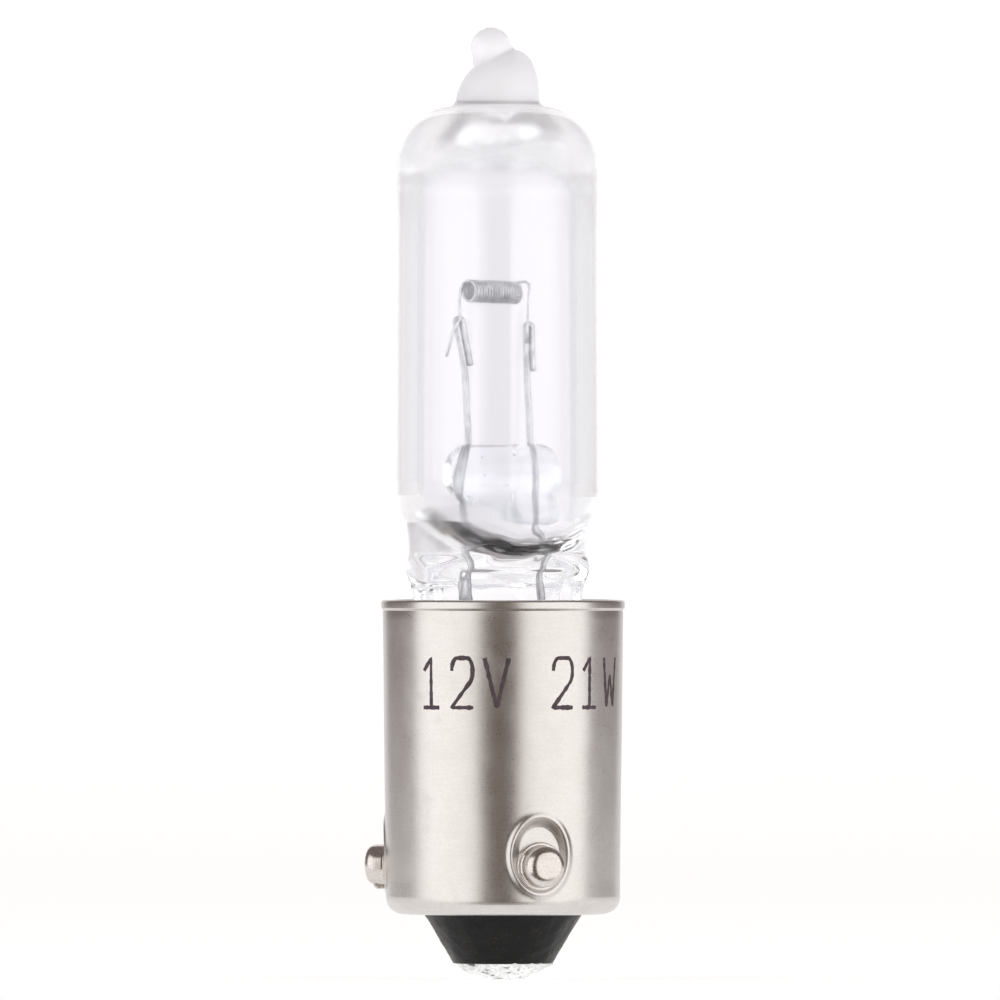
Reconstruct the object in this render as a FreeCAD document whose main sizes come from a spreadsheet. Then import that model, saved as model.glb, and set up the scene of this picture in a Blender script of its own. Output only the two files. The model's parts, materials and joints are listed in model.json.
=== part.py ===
"""Halogen signal bulb with a 9 mm bayonet cap, as a parametric document.

The origin is on the cap's axis, in the plane of the bayonet pins' centres. +Z runs up to the glass tip.
The cap's pieces keep the cap's own axis. The lamp mount (glass press, bead, wires and filament) is turned
about that axis, and the glass also stands a little to one side of it, as it was cemented in.
"""

import FreeCAD, Part
import math
import os
import re

import Sketcher

Vector = FreeCAD.Vector

# Driving dimensions, millimetres and degrees. Heights are measured from the plane of the pins' centres.
SIZES = {
    # cap shell: its radius at the bottom, and how much wider the top and the lip are
    "shell_radius": 4.42,
    "shell_taper": 0.12,
    "shell_wall": 0.35,
    "shell_bottom": -1.85,
    "shell_corner": 0.65,
    "rim_height": 10.0,
    "lip_proud": 0.06,
    "lip_depth": 0.38,
    "lip_bevel": 0.095,
    "bottom_lip": 1.42,
    # bayonet pins and the recesses they are staked in
    "pin_turn": 18.7,
    "pin_spacing": 120.0,
    "pin_radius": 0.775,
    "pin_proud": 0.83,
    "pin_nose_round": 0.42,
    "collar_step": 0.225,
    "collar_thickness": 0.17,
    "shank_step": 0.175,
    "stake_step": 0.4,
    "stake_thickness": 0.25,
    "stake_gap": 0.14,
    "dish_side": 0.25,
    "dish_end": 0.5,
    "dish_raise": 0.23,
    "dish_depth": 0.16,
    "dish_wall": 0.3,
    "press_gap": 0.01,
    # how far a cutting shape runs past what it cuts
    "tool_over": 0.3,
    # insulator, eyelet and solder
    "insulator_depth": 1.86,
    "insulator_taper": 1.13,
    "flange_room": 0.17,
    "flange_clear": 0.1,
    "eyelet_inset": 0.27,
    "eyelet_flange_thickness": 0.2,
    "eyelet_wall": 0.25,
    "eyelet_bore_radius": 0.5,
    "eyelet_length": 1.41,
    "solder_height": 0.63,
    "solder_land_radius": 0.5,
    "solder_round": 3.03,
    "solder_stem": 0.71,
    # glass envelope
    "glass_shift": -0.21,
    "glass_inset": 0.56,
    "glass_taper": 0.07,
    "glass_wall": 0.8,
    "glass_top": 28.6,
    "dome_round": 2.4,
    "dome_thickness": 1.3,
    "cavity_top_round": 1.9,
    "neck_height": 0.95,
    "shoulder_round": 2.95,
    "floor_rise": 1.35,
    "cavity_floor_round": 1.5,
    # press seal at the glass's lower end
    "press_inset": 0.76,
    "press_thickness": 2.4,
    "press_corner": 0.4,
    "press_bottom": 3.2,
    "press_drop": 0.1,
    "pad_inset": 1.05,
    "pad_raise": 0.22,
    "pad_rise": 0.15,
    # exhaust tip
    "tip_radius": 1.62,
    "tip_foot": 0.35,
    "tip_shoulder": 1.95,
    "tip_round": 1.2,
    "nub_radius": 0.79,
    "nub_shift": -0.17,
    "nub_lift": 2.2,
    # lamp mount: turned bead and wires; places are along the mount from the cap's axis
    "mount_turn": 20.0,
    "wire_radius": 0.145,
    "seal_gap": 0.01,
    "wire_bend": 0.6,
    "left_seal_place": -1.25,
    "left_bead_place": -1.4,
    "left_knee_place": -1.525,
    "left_hook_place": -1.88,
    "left_hook_drop": 1.045,
    "right_seal_place": 1.4,
    "right_bead_place": 1.2,
    "right_knee_place": 0.963,
    "right_hook_place": 0.92,
    "right_hook_drop": 1.24,
    "seal_jog": 0.9,
    "knee_drop": 3.0,
    "hook_gap": 0.09,
    "hook_flat": 0.04,
    "hook_return": 1.75,
    "bead_place": 0.04,
    "bead_lift": 1.17,
    "bead_radius": 1.2,
    "bead_clear": 0.81,
    "bead_round": 0.85,
    # filament
    "coil_wire_radius": 0.05,
    "coil_radius": 0.385,
    "coil_turns": 18.25,
    "coil_turn": 22.0,
    "coil_tilt": 3.0,
    "light_centre": 21.6,
    "leg_room": 0.45,
    "leg_bend": 0.3,
    "leg_straight": 0.4,
    "leg_overlap": 0.7,
    "tail_reach": 0.34,
    "tail_drop": 1.05,
    "tail_bend": 0.1,
    # welds, outer leads and cement
    "weld_gap": 0.3,
    "weld_length": 0.4,
    "weld_bulge": 0.26,
    "lead_radius": 0.225,
    "lead_bend": 0.5,
    "lead_straight": 0.9,
    "contact_lead_drop": 2.0,
    "solder_cover": 0.39,
    "shell_lead_drop": 1.3,
    "shell_lead_clear": 1.48,
    "shell_weld_length": 0.52,
    "shell_weld_radius": 0.34,
    "cement_foot": 0.3,
    "cement_recess": 0.9,
    "cement_gap": 0.02,
}

# Sizes and places that follow from the driving ones, so that what fits together stays together.
FOLLOWING = {
    "shell_radius_high": "shell_radius + shell_taper",
    "lip_radius": "shell_radius_high + lip_proud",
    "shell_foot": "shell_bottom + shell_corner",
    "shell_floor": "shell_bottom + shell_wall",
    "pin_reach": "shell_radius + pin_proud",
    "collar_radius": "pin_radius + collar_step",
    "shank_radius": "pin_radius - shank_step",
    "stake_radius": "shank_radius + stake_step",
    "dish_floor": "shell_radius - dish_depth",
    "dish_half_width": "collar_radius + dish_side",
    "dish_half_height": "collar_radius + dish_end",
    "mouth_radius": "shell_radius - bottom_lip",
    "flange_radius": "shell_radius - shell_corner - flange_room",
    "flange_top": "-(stake_radius + flange_clear)",
    "insulator_tip": "shell_bottom - insulator_depth",
    "insulator_tip_radius": "mouth_radius - insulator_taper",
    "eyelet_flange_radius": "insulator_tip_radius - eyelet_inset",
    "eyelet_tube_radius": "eyelet_bore_radius + eyelet_wall",
    "eyelet_seat": "insulator_tip + eyelet_flange_thickness",
    "eyelet_top": "insulator_tip + eyelet_length",
    "solder_bottom": "insulator_tip - solder_height",
    "glass_radius": "shell_radius - glass_inset",
    "glass_radius_high": "glass_radius - glass_taper",
    "shoulder_bottom": "rim_height + neck_height",
    "cavity_floor": "shoulder_bottom + floor_rise",
    "press_top": "shoulder_bottom + floor_rise - press_drop",
    "press_width": "2 * (glass_radius - press_inset)",
    "pad_width": "press_width - 2 * pad_inset",
    "pad_thickness": "press_thickness + 2 * pad_raise",
    "bead_height": "cavity_floor + bead_lift + bead_radius",
    "bead_length": "2 * (glass_radius - glass_wall - bead_clear)",
    "left_hook_height": "light_centre - left_hook_drop",
    "right_hook_height": "light_centre - right_hook_drop",
    "knee_height": "light_centre - knee_drop",
    "hook_span": "2 * wire_radius + hook_gap",
    "hook_bend": "hook_span / 2 - hook_flat / 2",
    "coil_length": "right_hook_place - left_hook_place - leg_room",
    "weld_height": "press_bottom - weld_gap - weld_length / 2",
    "weld_low": "weld_height - weld_length / 2",
    "weld_high": "weld_height + weld_length / 2",
    "contact_lead_end": "solder_bottom + solder_cover",
    "shell_lead_out": "pad_thickness / 2 + shell_lead_clear",
    "shell_lead_top": "cement_top + lead_bend",
    "cement_bottom": "press_bottom + cement_foot",
    "cement_top": "rim_height - cement_recess",
}

TURNED = "placement(vector(0; 0; 0); rotationz(Sizes.mount_turn))"
GLASS_PLACE = "placement(vector(Sizes.glass_shift; 0; 0); rotationz(Sizes.mount_turn))"


def make_sheet(doc):
    """Put every driving dimension in the spreadsheet, with its name as alias."""
    sheet = doc.addObject("Spreadsheet::Sheet", "Sizes")
    for row, (name, number) in enumerate(SIZES.items(), start=1):
        sheet.set(f"A{row}", name)
        sheet.set(f"B{row}", str(number))
        sheet.setAlias(f"B{row}", name)
    doc.recompute()
    return sheet


def bound(text):
    """The expression that reads the sheet: a driving name becomes its cell, a following one its formula."""

    def cell(match):
        name = match.group()
        if name in SIZES:
            return f"Sizes.{name}"
        return f"({bound(FOLLOWING[name])})" if name in FOLLOWING else name

    return re.sub(r"[a-z_]+", cell, str(text))


def size(text):
    """The present value of an expression on the sheet's dimensions."""
    return float(SHEET.evalExpression(bound(text)))


def body_named(label, place=None):
    """A new body whose label is its file's name, set down by a placement expression."""
    body = DOC.addObject("PartDesign::Body", label)
    body.Label = label
    if place:
        body.setExpression("Placement", place)
    return body


def add_sketch(body, name, plane, offset=None):
    """An empty sketch on one of the body's origin planes, raised along the plane's normal by offset."""
    sketch = body.newObject("Sketcher::SketchObject", name)
    support = [feature for feature in body.Origin.OriginFeatures if feature.Role == plane][0]
    sketch.AttachmentSupport = [(support, "")]
    sketch.MapMode = "FlatFace"
    if offset is not None:
        sketch.setExpression("AttachmentOffset.Base.z", bound(offset))
    return sketch


def constrain(sketch, name, expression, *constraint):
    """Add a dimension to the sketch and bind it to the sheet."""
    index = sketch.addConstraint(Sketcher.Constraint(*constraint, size(expression)))
    sketch.renameConstraint(index, name)
    sketch.setExpression(f"Constraints.{name}", bound(expression))


def place_corner(sketch, number, geometry, end, across, up):
    """Fix a corner's two coordinates. A zero is the sketch's own axis."""
    if across == "0":
        sketch.addConstraint(Sketcher.Constraint("PointOnObject", geometry, end, -2))
    else:
        constrain(sketch, f"across{number}", across, "DistanceX", -1, 1, geometry, end)
    if up == "0":
        sketch.addConstraint(Sketcher.Constraint("PointOnObject", geometry, end, -1))
    else:
        constrain(sketch, f"up{number}", up, "DistanceY", -1, 1, geometry, end)


def arc_between(start, finish, radius):
    """The short arc from start to finish: counterclockwise for a positive radius."""
    chord = finish - start
    half = chord.Length / 2
    side = Vector(-chord.y, chord.x, 0).normalize() * math.copysign(1, radius)
    centre = (start + finish) * 0.5 + side * math.sqrt(max(radius**2 - half**2, 0))
    ends = [math.atan2(p.y - centre.y, p.x - centre.x) for p in (start, finish)]
    if radius < 0:
        ends.reverse()
    return Part.ArcOfCircle(Part.Circle(centre, Vector(0, 0, 1), abs(radius)), *ends)


def outline(body, name, plane, corners, offset=None):
    """A closed outline. A corner is (across, up), or (across, up, radius) where an arc ends there."""
    sketch = add_sketch(body, name, plane, offset)
    points = [Vector(size(corner[0]), size(corner[1]), 0) for corner in corners]
    count = len(corners)
    heads = []
    for i in range(count):
        j = (i + 1) % count
        turn = size(corners[j][2]) if len(corners[j]) > 2 else None
        if turn is None:
            sketch.addGeometry(Part.LineSegment(points[i], points[j]), False)
        else:
            sketch.addGeometry(arc_between(points[i], points[j], turn), False)
        # an arc's own ends run counterclockwise, so a clockwise arc starts at its second end
        heads.append((2, 1) if turn is not None and turn < 0 else (1, 2))
    for i in range(count):
        j = (i + 1) % count
        sketch.addConstraint(Sketcher.Constraint("Coincident", i, heads[i][1], j, heads[j][0]))
    for i, corner in enumerate(corners):
        place_corner(sketch, i, i, heads[i][0], str(corner[0]), str(corner[1]))
        if len(corner) > 2:
            expression = str(corner[2]).lstrip("-")
            constrain(sketch, f"round{i}", expression, "Radius", (i - 1) % count)
    return sketch


def bent_path(body, name, plane, corners, offset=None):
    """An open path of straight runs joined by tangent arcs. A corner is (across, up, bend)."""
    sketch = add_sketch(body, name, plane, offset)
    points = [Vector(size(corner[0]), size(corner[1]), 0) for corner in corners]
    runs = len(corners) - 1
    for start, finish in zip(points, points[1:]):
        sketch.addGeometry(Part.LineSegment(start, finish), False)
    for i in range(runs - 1):
        sketch.addConstraint(Sketcher.Constraint("Coincident", i, 2, i + 1, 1))
    for i, corner in enumerate(corners):
        run, end = (i, 1) if i < runs else (runs - 1, 2)
        place_corner(sketch, i, run, end, str(corner[0]), str(corner[1]))
    for i in range(1, runs):
        before = (points[i - 1] + points[i]) * 0.5
        after = (points[i] + points[i + 1]) * 0.5
        sketch.fillet(i - 1, i, before, after, size(corners[i][2]), True, True)
        arc = sketch.GeometryCount - 2
        constrain(sketch, f"bend{i}", corners[i][2], "Radius", arc)
    return sketch


def circles(body, name, plane, discs, offset=None):
    """A sketch of full circles, each (across, up, radius)."""
    sketch = add_sketch(body, name, plane, offset)
    for i, (across, up, radius) in enumerate(discs):
        centre = Vector(size(across), size(up), 0)
        sketch.addGeometry(Part.Circle(centre, Vector(0, 0, 1), size(radius)), False)
        place_corner(sketch, i, i, 3, str(across), str(up))
        constrain(sketch, f"radius{i}", radius, "Radius", i)
    return sketch


def rounded_box(body, name, width, depth, corner, offset):
    """The outline of a rectangle centred on the body's axis, with rounded corners."""
    across, along = f"({width}) / 2", f"({depth}) / 2"
    short_across, short_along = f"({across} - {corner})", f"({along} - {corner})"
    corners = [
        (short_across, f"-{along}"),
        (across, f"-{short_along}", corner),
        (across, short_along),
        (short_across, along, corner),
        (f"-{short_across}", along),
        (f"-{across}", short_along, corner),
        (f"-{across}", f"-{short_along}"),
        (f"-{short_across}", f"-{along}", corner),
    ]
    return outline(body, name, "XY_Plane", corners, offset)


def turned(body, name, sketch, kind="PartDesign::Revolution"):
    """Turn a half section once round the body's Z axis, as an added or (Groove) a removed shape."""
    feature = body.newObject(kind, name)
    feature.Profile = sketch
    feature.ReferenceAxis = (sketch, ["V_Axis"])
    feature.Angle = 360
    DOC.recompute()
    return feature


def extruded(body, name, sketch, length, kind="PartDesign::Pad", away=False):
    """Carry a sketch along its plane's normal by length, or against it where away is set."""
    feature = body.newObject(kind, name)
    feature.Profile = sketch
    feature.Reversed = away
    feature.setExpression("Length", bound(length))
    DOC.recompute()
    return feature


def piped(body, name, profile, path):
    """Carry a profile along a path sketch."""
    feature = body.newObject("PartDesign::AdditivePipe", name)
    feature.Profile = profile
    DOC.recompute()
    feature.Spine = (path, [f"Edge{i + 1}" for i in range(len(path.Shape.Edges))])
    DOC.recompute()
    return feature


def rounded(body, name, base, radius, chosen):
    """Fillet the edges of base that the test picks."""
    feature = body.newObject("PartDesign::Fillet", name)
    edges = [f"Edge{i + 1}" for i, edge in enumerate(base.Shape.Edges) if chosen(edge)]
    feature.Base = (base, edges)
    feature.setExpression("Radius", bound(radius))
    DOC.recompute()
    return feature


def shell_inside(height):
    """The shell's inner radius at a height, as an expression: the wall is a slight cone."""
    share = f"(({height}) - shell_foot) / (rim_height - shell_foot)"
    return f"(shell_radius - shell_wall + shell_taper * {share})"


# where the shell lead stops short of the shell's wall, across the mount at the left wire's place
SHELL_LEAD_END = f"(sqrt({shell_inside('shell_lead_top')}^2 - left_seal_place^2) - shell_weld_length)"


# ---------------------------------------------------------------- cap


def make_cap_shell():
    """Drawn shell with a rolled lip, a turned-in bottom, and a dished recess with a hole for each pin."""
    body = body_named("cap_shell", "placement(vector(0; 0; 0); rotationz(Sizes.pin_turn))")
    lip = "rim_height - lip_depth"
    section = outline(body, "shell_section", "XZ_Plane", [
        ("mouth_radius", "shell_bottom"),
        ("shell_radius - shell_corner", "shell_bottom"),
        ("shell_radius", "shell_foot", "shell_corner"),
        ("shell_radius_high", lip),
        ("lip_radius", f"{lip} + lip_bevel"),
        ("lip_radius", "rim_height - lip_bevel"),
        ("shell_radius_high", "rim_height"),
        ("shell_radius_high - shell_wall", "rim_height"),
        ("shell_radius - shell_wall", "shell_foot"),
        ("shell_radius - shell_corner", "shell_floor", "-(shell_corner - shell_wall)"),
        ("mouth_radius", "shell_floor"),
    ])
    turned(body, "shell_wall_ring", section)
    # the pins' side of this body is -Y, so that one pocket and its pattern make both recesses
    boss = ellipse(body, "boss_outline", "dish_half_width + dish_wall", "dish_half_height + dish_wall",
                   "dish_floor - dish_wall")
    inner = extruded(body, "dish_boss", boss, "shell_radius - shell_wall / 2 - dish_floor + dish_wall")
    dish = ellipse(body, "dish_outline", "dish_half_width", "dish_half_height", "dish_floor")
    recess = extruded(body, "dish", dish, "lip_radius - dish_floor", "PartDesign::Pocket", away=True)
    hole = circles(body, "hole_outline", "XZ_Plane", [("0", "0", "shank_radius + press_gap")],
                   "dish_floor - dish_wall - tool_over")
    bore = extruded(body, "pin_hole", hole, "dish_wall + 2 * tool_over", "PartDesign::Pocket", away=True)
    both = body.newObject("PartDesign::PolarPattern", "both_pins")
    both.Originals = [inner, recess, bore]
    both.Axis = (section, ["V_Axis"])
    both.Occurrences = 2
    both.Reversed = True
    both.setExpression("Angle", bound("pin_spacing"))
    body.Tip = both
    DOC.recompute()
    return body


def ellipse(body, name, half_width, half_height, offset):
    """An upright ellipse at the pins' recess, on a plane across the pin at the radius given by offset."""
    sketch = add_sketch(body, name, "XZ_Plane", offset)
    centre = Vector(0, size("dish_raise"), 0)
    top = centre + Vector(0, size(half_height), 0)
    side = centre + Vector(size(half_width), 0, 0)
    sketch.addGeometry(Part.Ellipse(top, side, centre), False)
    sketch.exposeInternalGeometry(0)
    place_corner(sketch, 0, 0, 3, "0", "dish_raise")
    # the exposed axes are lines 1 (major, upright) and 2 (minor)
    sketch.addConstraint(Sketcher.Constraint("Vertical", 1))
    constrain(sketch, "tall", f"2 * ({half_height})", "Distance", 1)
    constrain(sketch, "wide", f"2 * ({half_width})", "Distance", 2)
    return sketch


def make_pin(label, turn):
    """A staked pin: rounded nose, collar on the recess's floor, shank in the hole and head inside."""
    place = f"placement(vector(0; 0; 0); rotationz({bound(turn)}) * rotationx(90))"
    body = body_named(label, place)
    collar_top = "dish_floor + collar_thickness"
    head_top = "dish_floor - dish_wall - stake_gap"
    section = outline(body, "pin_section", "XZ_Plane", [
        ("0", f"{head_top} - stake_thickness"),
        ("stake_radius", f"{head_top} - stake_thickness"),
        ("stake_radius", head_top),
        ("shank_radius", head_top),
        ("shank_radius", "dish_floor"),
        ("collar_radius", "dish_floor"),
        ("collar_radius", collar_top),
        ("pin_radius", collar_top),
        ("pin_radius", "pin_reach - pin_nose_round"),
        ("pin_radius - pin_nose_round", "pin_reach", "pin_nose_round"),
        ("0", "pin_reach"),
    ])
    turned(body, "pin_turned", section)
    return body


def make_insulator():
    """Black cone under the shell, with a flange inside it and a seat for the eyelet."""
    body = body_named("insulator")
    section = outline(body, "insulator_section", "XZ_Plane", [
        ("eyelet_flange_radius + press_gap", "insulator_tip"),
        ("insulator_tip_radius", "insulator_tip"),
        ("mouth_radius - press_gap", "shell_bottom"),
        ("mouth_radius - press_gap", "shell_floor"),
        ("flange_radius", "shell_floor"),
        ("flange_radius", "flange_top"),
        ("lead_radius + press_gap", "flange_top"),
        ("lead_radius + press_gap", "eyelet_top"),
        ("eyelet_tube_radius + press_gap", "eyelet_top"),
        ("eyelet_tube_radius + press_gap", "eyelet_seat"),
        ("eyelet_flange_radius + press_gap", "eyelet_seat"),
    ])
    turned(body, "insulator_turned", section)
    return body


def make_contact_eyelet():
    """Flanged eyelet, flush with the insulator's tip."""
    body = body_named("contact_eyelet")
    section = outline(body, "eyelet_section", "XZ_Plane", [
        ("eyelet_bore_radius", "insulator_tip"),
        ("eyelet_flange_radius", "insulator_tip"),
        ("eyelet_flange_radius", "eyelet_seat"),
        ("eyelet_tube_radius", "eyelet_seat"),
        ("eyelet_tube_radius", "eyelet_top"),
        ("eyelet_bore_radius", "eyelet_top"),
    ])
    turned(body, "eyelet_turned", section)
    return body


def make_contact_solder():
    """Solder dome on the insulator's tip, with a stem that fills the eyelet round the lead."""
    body = body_named("contact_solder")
    stem = "eyelet_bore_radius - press_gap"
    core = "lead_radius + press_gap"
    edge = "insulator_tip_radius - press_gap"
    fill = "insulator_tip + solder_stem"
    section = outline(body, "solder_section", "XZ_Plane", [
        ("0", "solder_bottom"),
        ("solder_land_radius", "solder_bottom"),
        (edge, "insulator_tip", "solder_round"),
        (stem, "insulator_tip"),
        (stem, fill),
        (core, fill),
        (core, "contact_lead_end"),
        ("0", "contact_lead_end"),
    ])
    turned(body, "solder_turned", section)
    return body


# ---------------------------------------------------------------- glass


def make_glass_envelope():
    """Tube with a domed top and a round shoulder, sealed on a flat press that the wires run through."""
    body = body_named("glass_envelope", GLASS_PLACE)
    section = outline(body, "envelope_section", "XZ_Plane", [
        ("0", "shoulder_bottom"),
        ("glass_radius - shoulder_round", "shoulder_bottom"),
        ("glass_radius", "shoulder_bottom + shoulder_round", "shoulder_round"),
        ("glass_radius_high", "glass_top - dome_round"),
        ("glass_radius_high - dome_round", "glass_top", "dome_round"),
        ("0", "glass_top"),
    ])
    turned(body, "envelope", section)
    press = rounded_box(body, "press_outline", "press_width", "press_thickness", "press_corner",
                        "press_bottom")
    extruded(body, "press", press, "press_top - press_bottom")
    pad = rounded_box(body, "pad_outline", "pad_width", "pad_thickness", "press_corner", "press_bottom")
    extruded(body, "press_pads", pad, "shoulder_bottom + pad_rise - press_bottom")
    ceiling = "glass_top - dome_thickness"
    inside_low, inside_high = "(glass_radius - glass_wall)", "(glass_radius_high - glass_wall)"
    cavity = outline(body, "cavity_section", "XZ_Plane", [
        ("0", "cavity_floor"),
        (f"{inside_low} - cavity_floor_round", "cavity_floor"),
        (inside_low, "cavity_floor + cavity_floor_round", "cavity_floor_round"),
        (inside_high, f"{ceiling} - cavity_top_round"),
        (f"{inside_high} - cavity_top_round", ceiling, "cavity_top_round"),
        ("0", ceiling),
    ])
    turned(body, "cavity", cavity, "PartDesign::Groove")
    # the wires stand in the turned mount, whose axis is the cap's, so the glass's own shift is taken off
    back_across = "glass_shift * cos(mount_turn)"
    back_along = "glass_shift * sin(mount_turn)"
    holes = circles(body, "wire_holes_outline", "XY_Plane", [
        (f"left_seal_place - {back_across}", back_along, "wire_radius + seal_gap"),
        (f"right_seal_place - {back_across}", back_along, "wire_radius + seal_gap"),
    ], "press_bottom")
    extruded(body, "wire_holes", holes, "cavity_floor + cavity_floor_round / 2 - press_bottom",
             "PartDesign::Pocket", away=True)
    return body


def make_exhaust_tip():
    """Sealed stub on the dome: a rounded drum with a smaller nub to the left on top."""
    body = body_named("exhaust_tip", "placement(vector(Sizes.glass_shift; 0; 0); rotationz(0))")
    top = "(glass_top + tip_shoulder)"
    section = outline(body, "tip_section", "XZ_Plane", [
        ("0", "glass_top"),
        ("glass_radius_high - dome_round", "glass_top"),
        ("tip_radius", "glass_top + tip_foot"),
        ("tip_radius", f"{top} - tip_round"),
        ("tip_radius - tip_round", top, "tip_round"),
        ("0", top),
    ])
    turned(body, "tip_drum", section)
    nub = body.newObject("PartDesign::AdditiveSphere", "tip_nub")
    nub.setExpression("Radius", bound("nub_radius"))
    nub.AttachmentSupport = [([f for f in body.Origin.OriginFeatures if f.Role == "XY_Plane"][0], "")]
    nub.MapMode = "FlatFace"
    nub.setExpression("AttachmentOffset.Base.x", bound("nub_shift"))
    nub.setExpression("AttachmentOffset.Base.z", bound("glass_top + nub_lift"))
    DOC.recompute()
    return body


# ---------------------------------------------------------------- lamp mount


def make_bridge_bead():
    """Horizontal glass rod with rounded ends, melted round both support wires."""
    body = body_named("bridge_bead", TURNED)
    start = "bead_place - bead_length / 2"
    disc = circles(body, "bead_outline", "YZ_Plane", [("0", "bead_height", "bead_radius")], start)
    rod = extruded(body, "bead_rod", disc, "bead_length")
    rounded(body, "bead_ends", rod, "bead_round", lambda edge: isinstance(edge.Curve, Part.Circle))
    wires = circles(body, "bead_holes_outline", "XY_Plane", [
        ("left_bead_place", "0", "wire_radius + seal_gap"),
        ("right_bead_place", "0", "wire_radius + seal_gap"),
    ], "bead_height - bead_radius - seal_gap")
    extruded(body, "bead_holes", wires, "2 * (bead_radius + seal_gap)", "PartDesign::Pocket", away=True)
    return body


def make_support_wire(side):
    """Lead-in wire: straight in the press, a jog up to the bead, leaning above it, and folded at the top."""
    body = body_named(f"support_wire_{side}", TURNED)
    seal, bead, knee, hook = (f"{side}_{level}_place" for level in ("seal", "bead", "knee", "hook"))
    crest = f"{side}_hook_height"
    lean = f"({knee} - {hook}) * hook_return / ({crest} - knee_height)"
    path = bent_path(body, "wire_path", "XZ_Plane", [
        (seal, "weld_high"),
        (seal, "cavity_floor", "wire_bend"),
        (bead, "cavity_floor + seal_jog", "wire_bend"),
        (bead, "bead_height + bead_radius + wire_bend / 2", "wire_bend"),
        (knee, "knee_height", "wire_bend"),
        (hook, crest, "hook_bend"),
        (f"{hook} + hook_span", crest, "hook_bend"),
        (f"{hook} + hook_span + {lean}", f"{crest} - hook_return"),
    ])
    ring = circles(body, "wire_section", "XY_Plane", [(seal, "0", "wire_radius")], "weld_high")
    piped(body, "wire", ring, path)
    return body


def tangent_arcs(points, bends):
    """Straight runs through the points in space, joined by tangent arcs with the given radii."""
    edges = []
    start = points[0]
    for before, corner, after, bend in zip(points, points[1:], points[2:], bends):
        into = (corner - before).normalize()
        out = (after - corner).normalize()
        turn = into.getAngle(out)
        reach = bend * math.tan(turn / 2)
        first, last = corner - into * reach, corner + out * reach
        middle = corner + (out - into).normalize() * (bend / math.cos(turn / 2) - bend)
        edges.append(Part.LineSegment(start, first).toShape())
        edges.append(Part.Arc(first, middle, last).toShape())
        start = last
    edges.append(Part.LineSegment(start, points[-1]).toShape())
    return edges


def make_filament():
    """One tungsten wire: tail, left leg, coil and right leg, each leg lying in front of its hook."""
    turn, tilt = math.radians(size("coil_turn")), math.radians(size("coil_tilt"))
    radius, length, turns = size("coil_radius"), size("coil_length"), size("coil_turns")
    along = Vector(math.cos(turn) * math.cos(tilt), math.sin(turn) * math.cos(tilt), -math.sin(tilt))
    back = Vector(-math.sin(turn), math.cos(turn), 0)
    over = along.cross(back)
    in_front = -size("wire_radius + coil_wire_radius + seal_gap")
    middle = size("(left_hook_place + hook_span / 2 + right_hook_place) / 2")
    centre = Vector(middle, 0, size("light_centre"))
    # the coil starts at its back and ends a quarter turn further, on its top
    coil = Part.makeHelix(length / turns, length, radius)
    frame = FreeCAD.Matrix(
        back.x, over.x, along.x, centre.x - along.x * length / 2,
        back.y, over.y, along.y, centre.y - along.y * length / 2,
        back.z, over.z, along.z, centre.z - along.z * length / 2,
        0, 0, 0, 1)
    coil.transformShape(frame)
    curl = coil.Edges[0]
    first, last = curl.valueAt(curl.FirstParameter), curl.valueAt(curl.LastParameter)
    into = curl.tangentAt(curl.FirstParameter)
    out = curl.tangentAt(curl.LastParameter)
    left_x, left_z = size("left_hook_place + hook_span / 2"), size("left_hook_height")
    right_x, right_z = size("right_hook_place"), size("right_hook_height")
    tail_top = Vector(left_x - size("tail_reach"), in_front, left_z - size("coil_radius"))
    left = tangent_arcs([
        tail_top + Vector(-size("tail_reach"), 0, -size("tail_drop")),
        tail_top,
        Vector(left_x, in_front, left_z),
        first - into * size("leg_straight"),
        first,
    ], [size("tail_bend"), size("tail_bend"), size("leg_bend")])
    reach = (last.y - in_front) / -out.y
    right = tangent_arcs([
        last,
        last + out * reach,
        Vector(right_x, in_front, right_z),
        Vector(right_x, in_front, right_z - size("leg_overlap")),
    ], [size("leg_bend"), size("leg_bend")])
    spine = Part.Wire(left + [curl] + right)
    start = spine.OrderedEdges[0]
    section = Part.Wire(Part.makeCircle(size("coil_wire_radius"), start.valueAt(start.FirstParameter),
                                        start.tangentAt(start.FirstParameter)))
    feature = DOC.addObject("Part::Feature", "filament_coil")
    feature.Label = "filament_coil"
    feature.Shape = spine.makePipeShell([section], True, False)
    feature.setExpression("Placement", TURNED)
    return feature


# ---------------------------------------------------------------- inside the cap


def make_lead_weld(side):
    """Butt weld between a support wire and its outer lead: a small barrel with their diameter at its ends."""
    across = bound(f"{side}_seal_place")
    body = body_named(f"lead_weld_{side}", f"{TURNED} * placement(vector({across}; 0; 0); rotationz(0))")
    section = outline(body, "weld_section", "XZ_Plane", [
        ("0", "weld_low"),
        ("lead_radius", "weld_low"),
        ("lead_radius", "weld_high", "weld_bulge"),
        ("0", "weld_high"),
    ])
    turned(body, "weld_turned", section)
    return body


def make_contact_lead():
    """From the right support wire, in to the cap's axis and down through the eyelet into the solder."""
    body = body_named("contact_lead", TURNED)
    path = bent_path(body, "lead_path", "XZ_Plane", [
        ("right_seal_place", "weld_low"),
        ("right_seal_place", "weld_low - lead_straight", "lead_bend"),
        ("0", "weld_low - contact_lead_drop", "lead_bend"),
        ("0", "contact_lead_end"),
    ])
    ring = circles(body, "lead_section", "XY_Plane", [("right_seal_place", "0", "lead_radius")], "weld_low")
    piped(body, "lead", ring, path)
    return body


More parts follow.
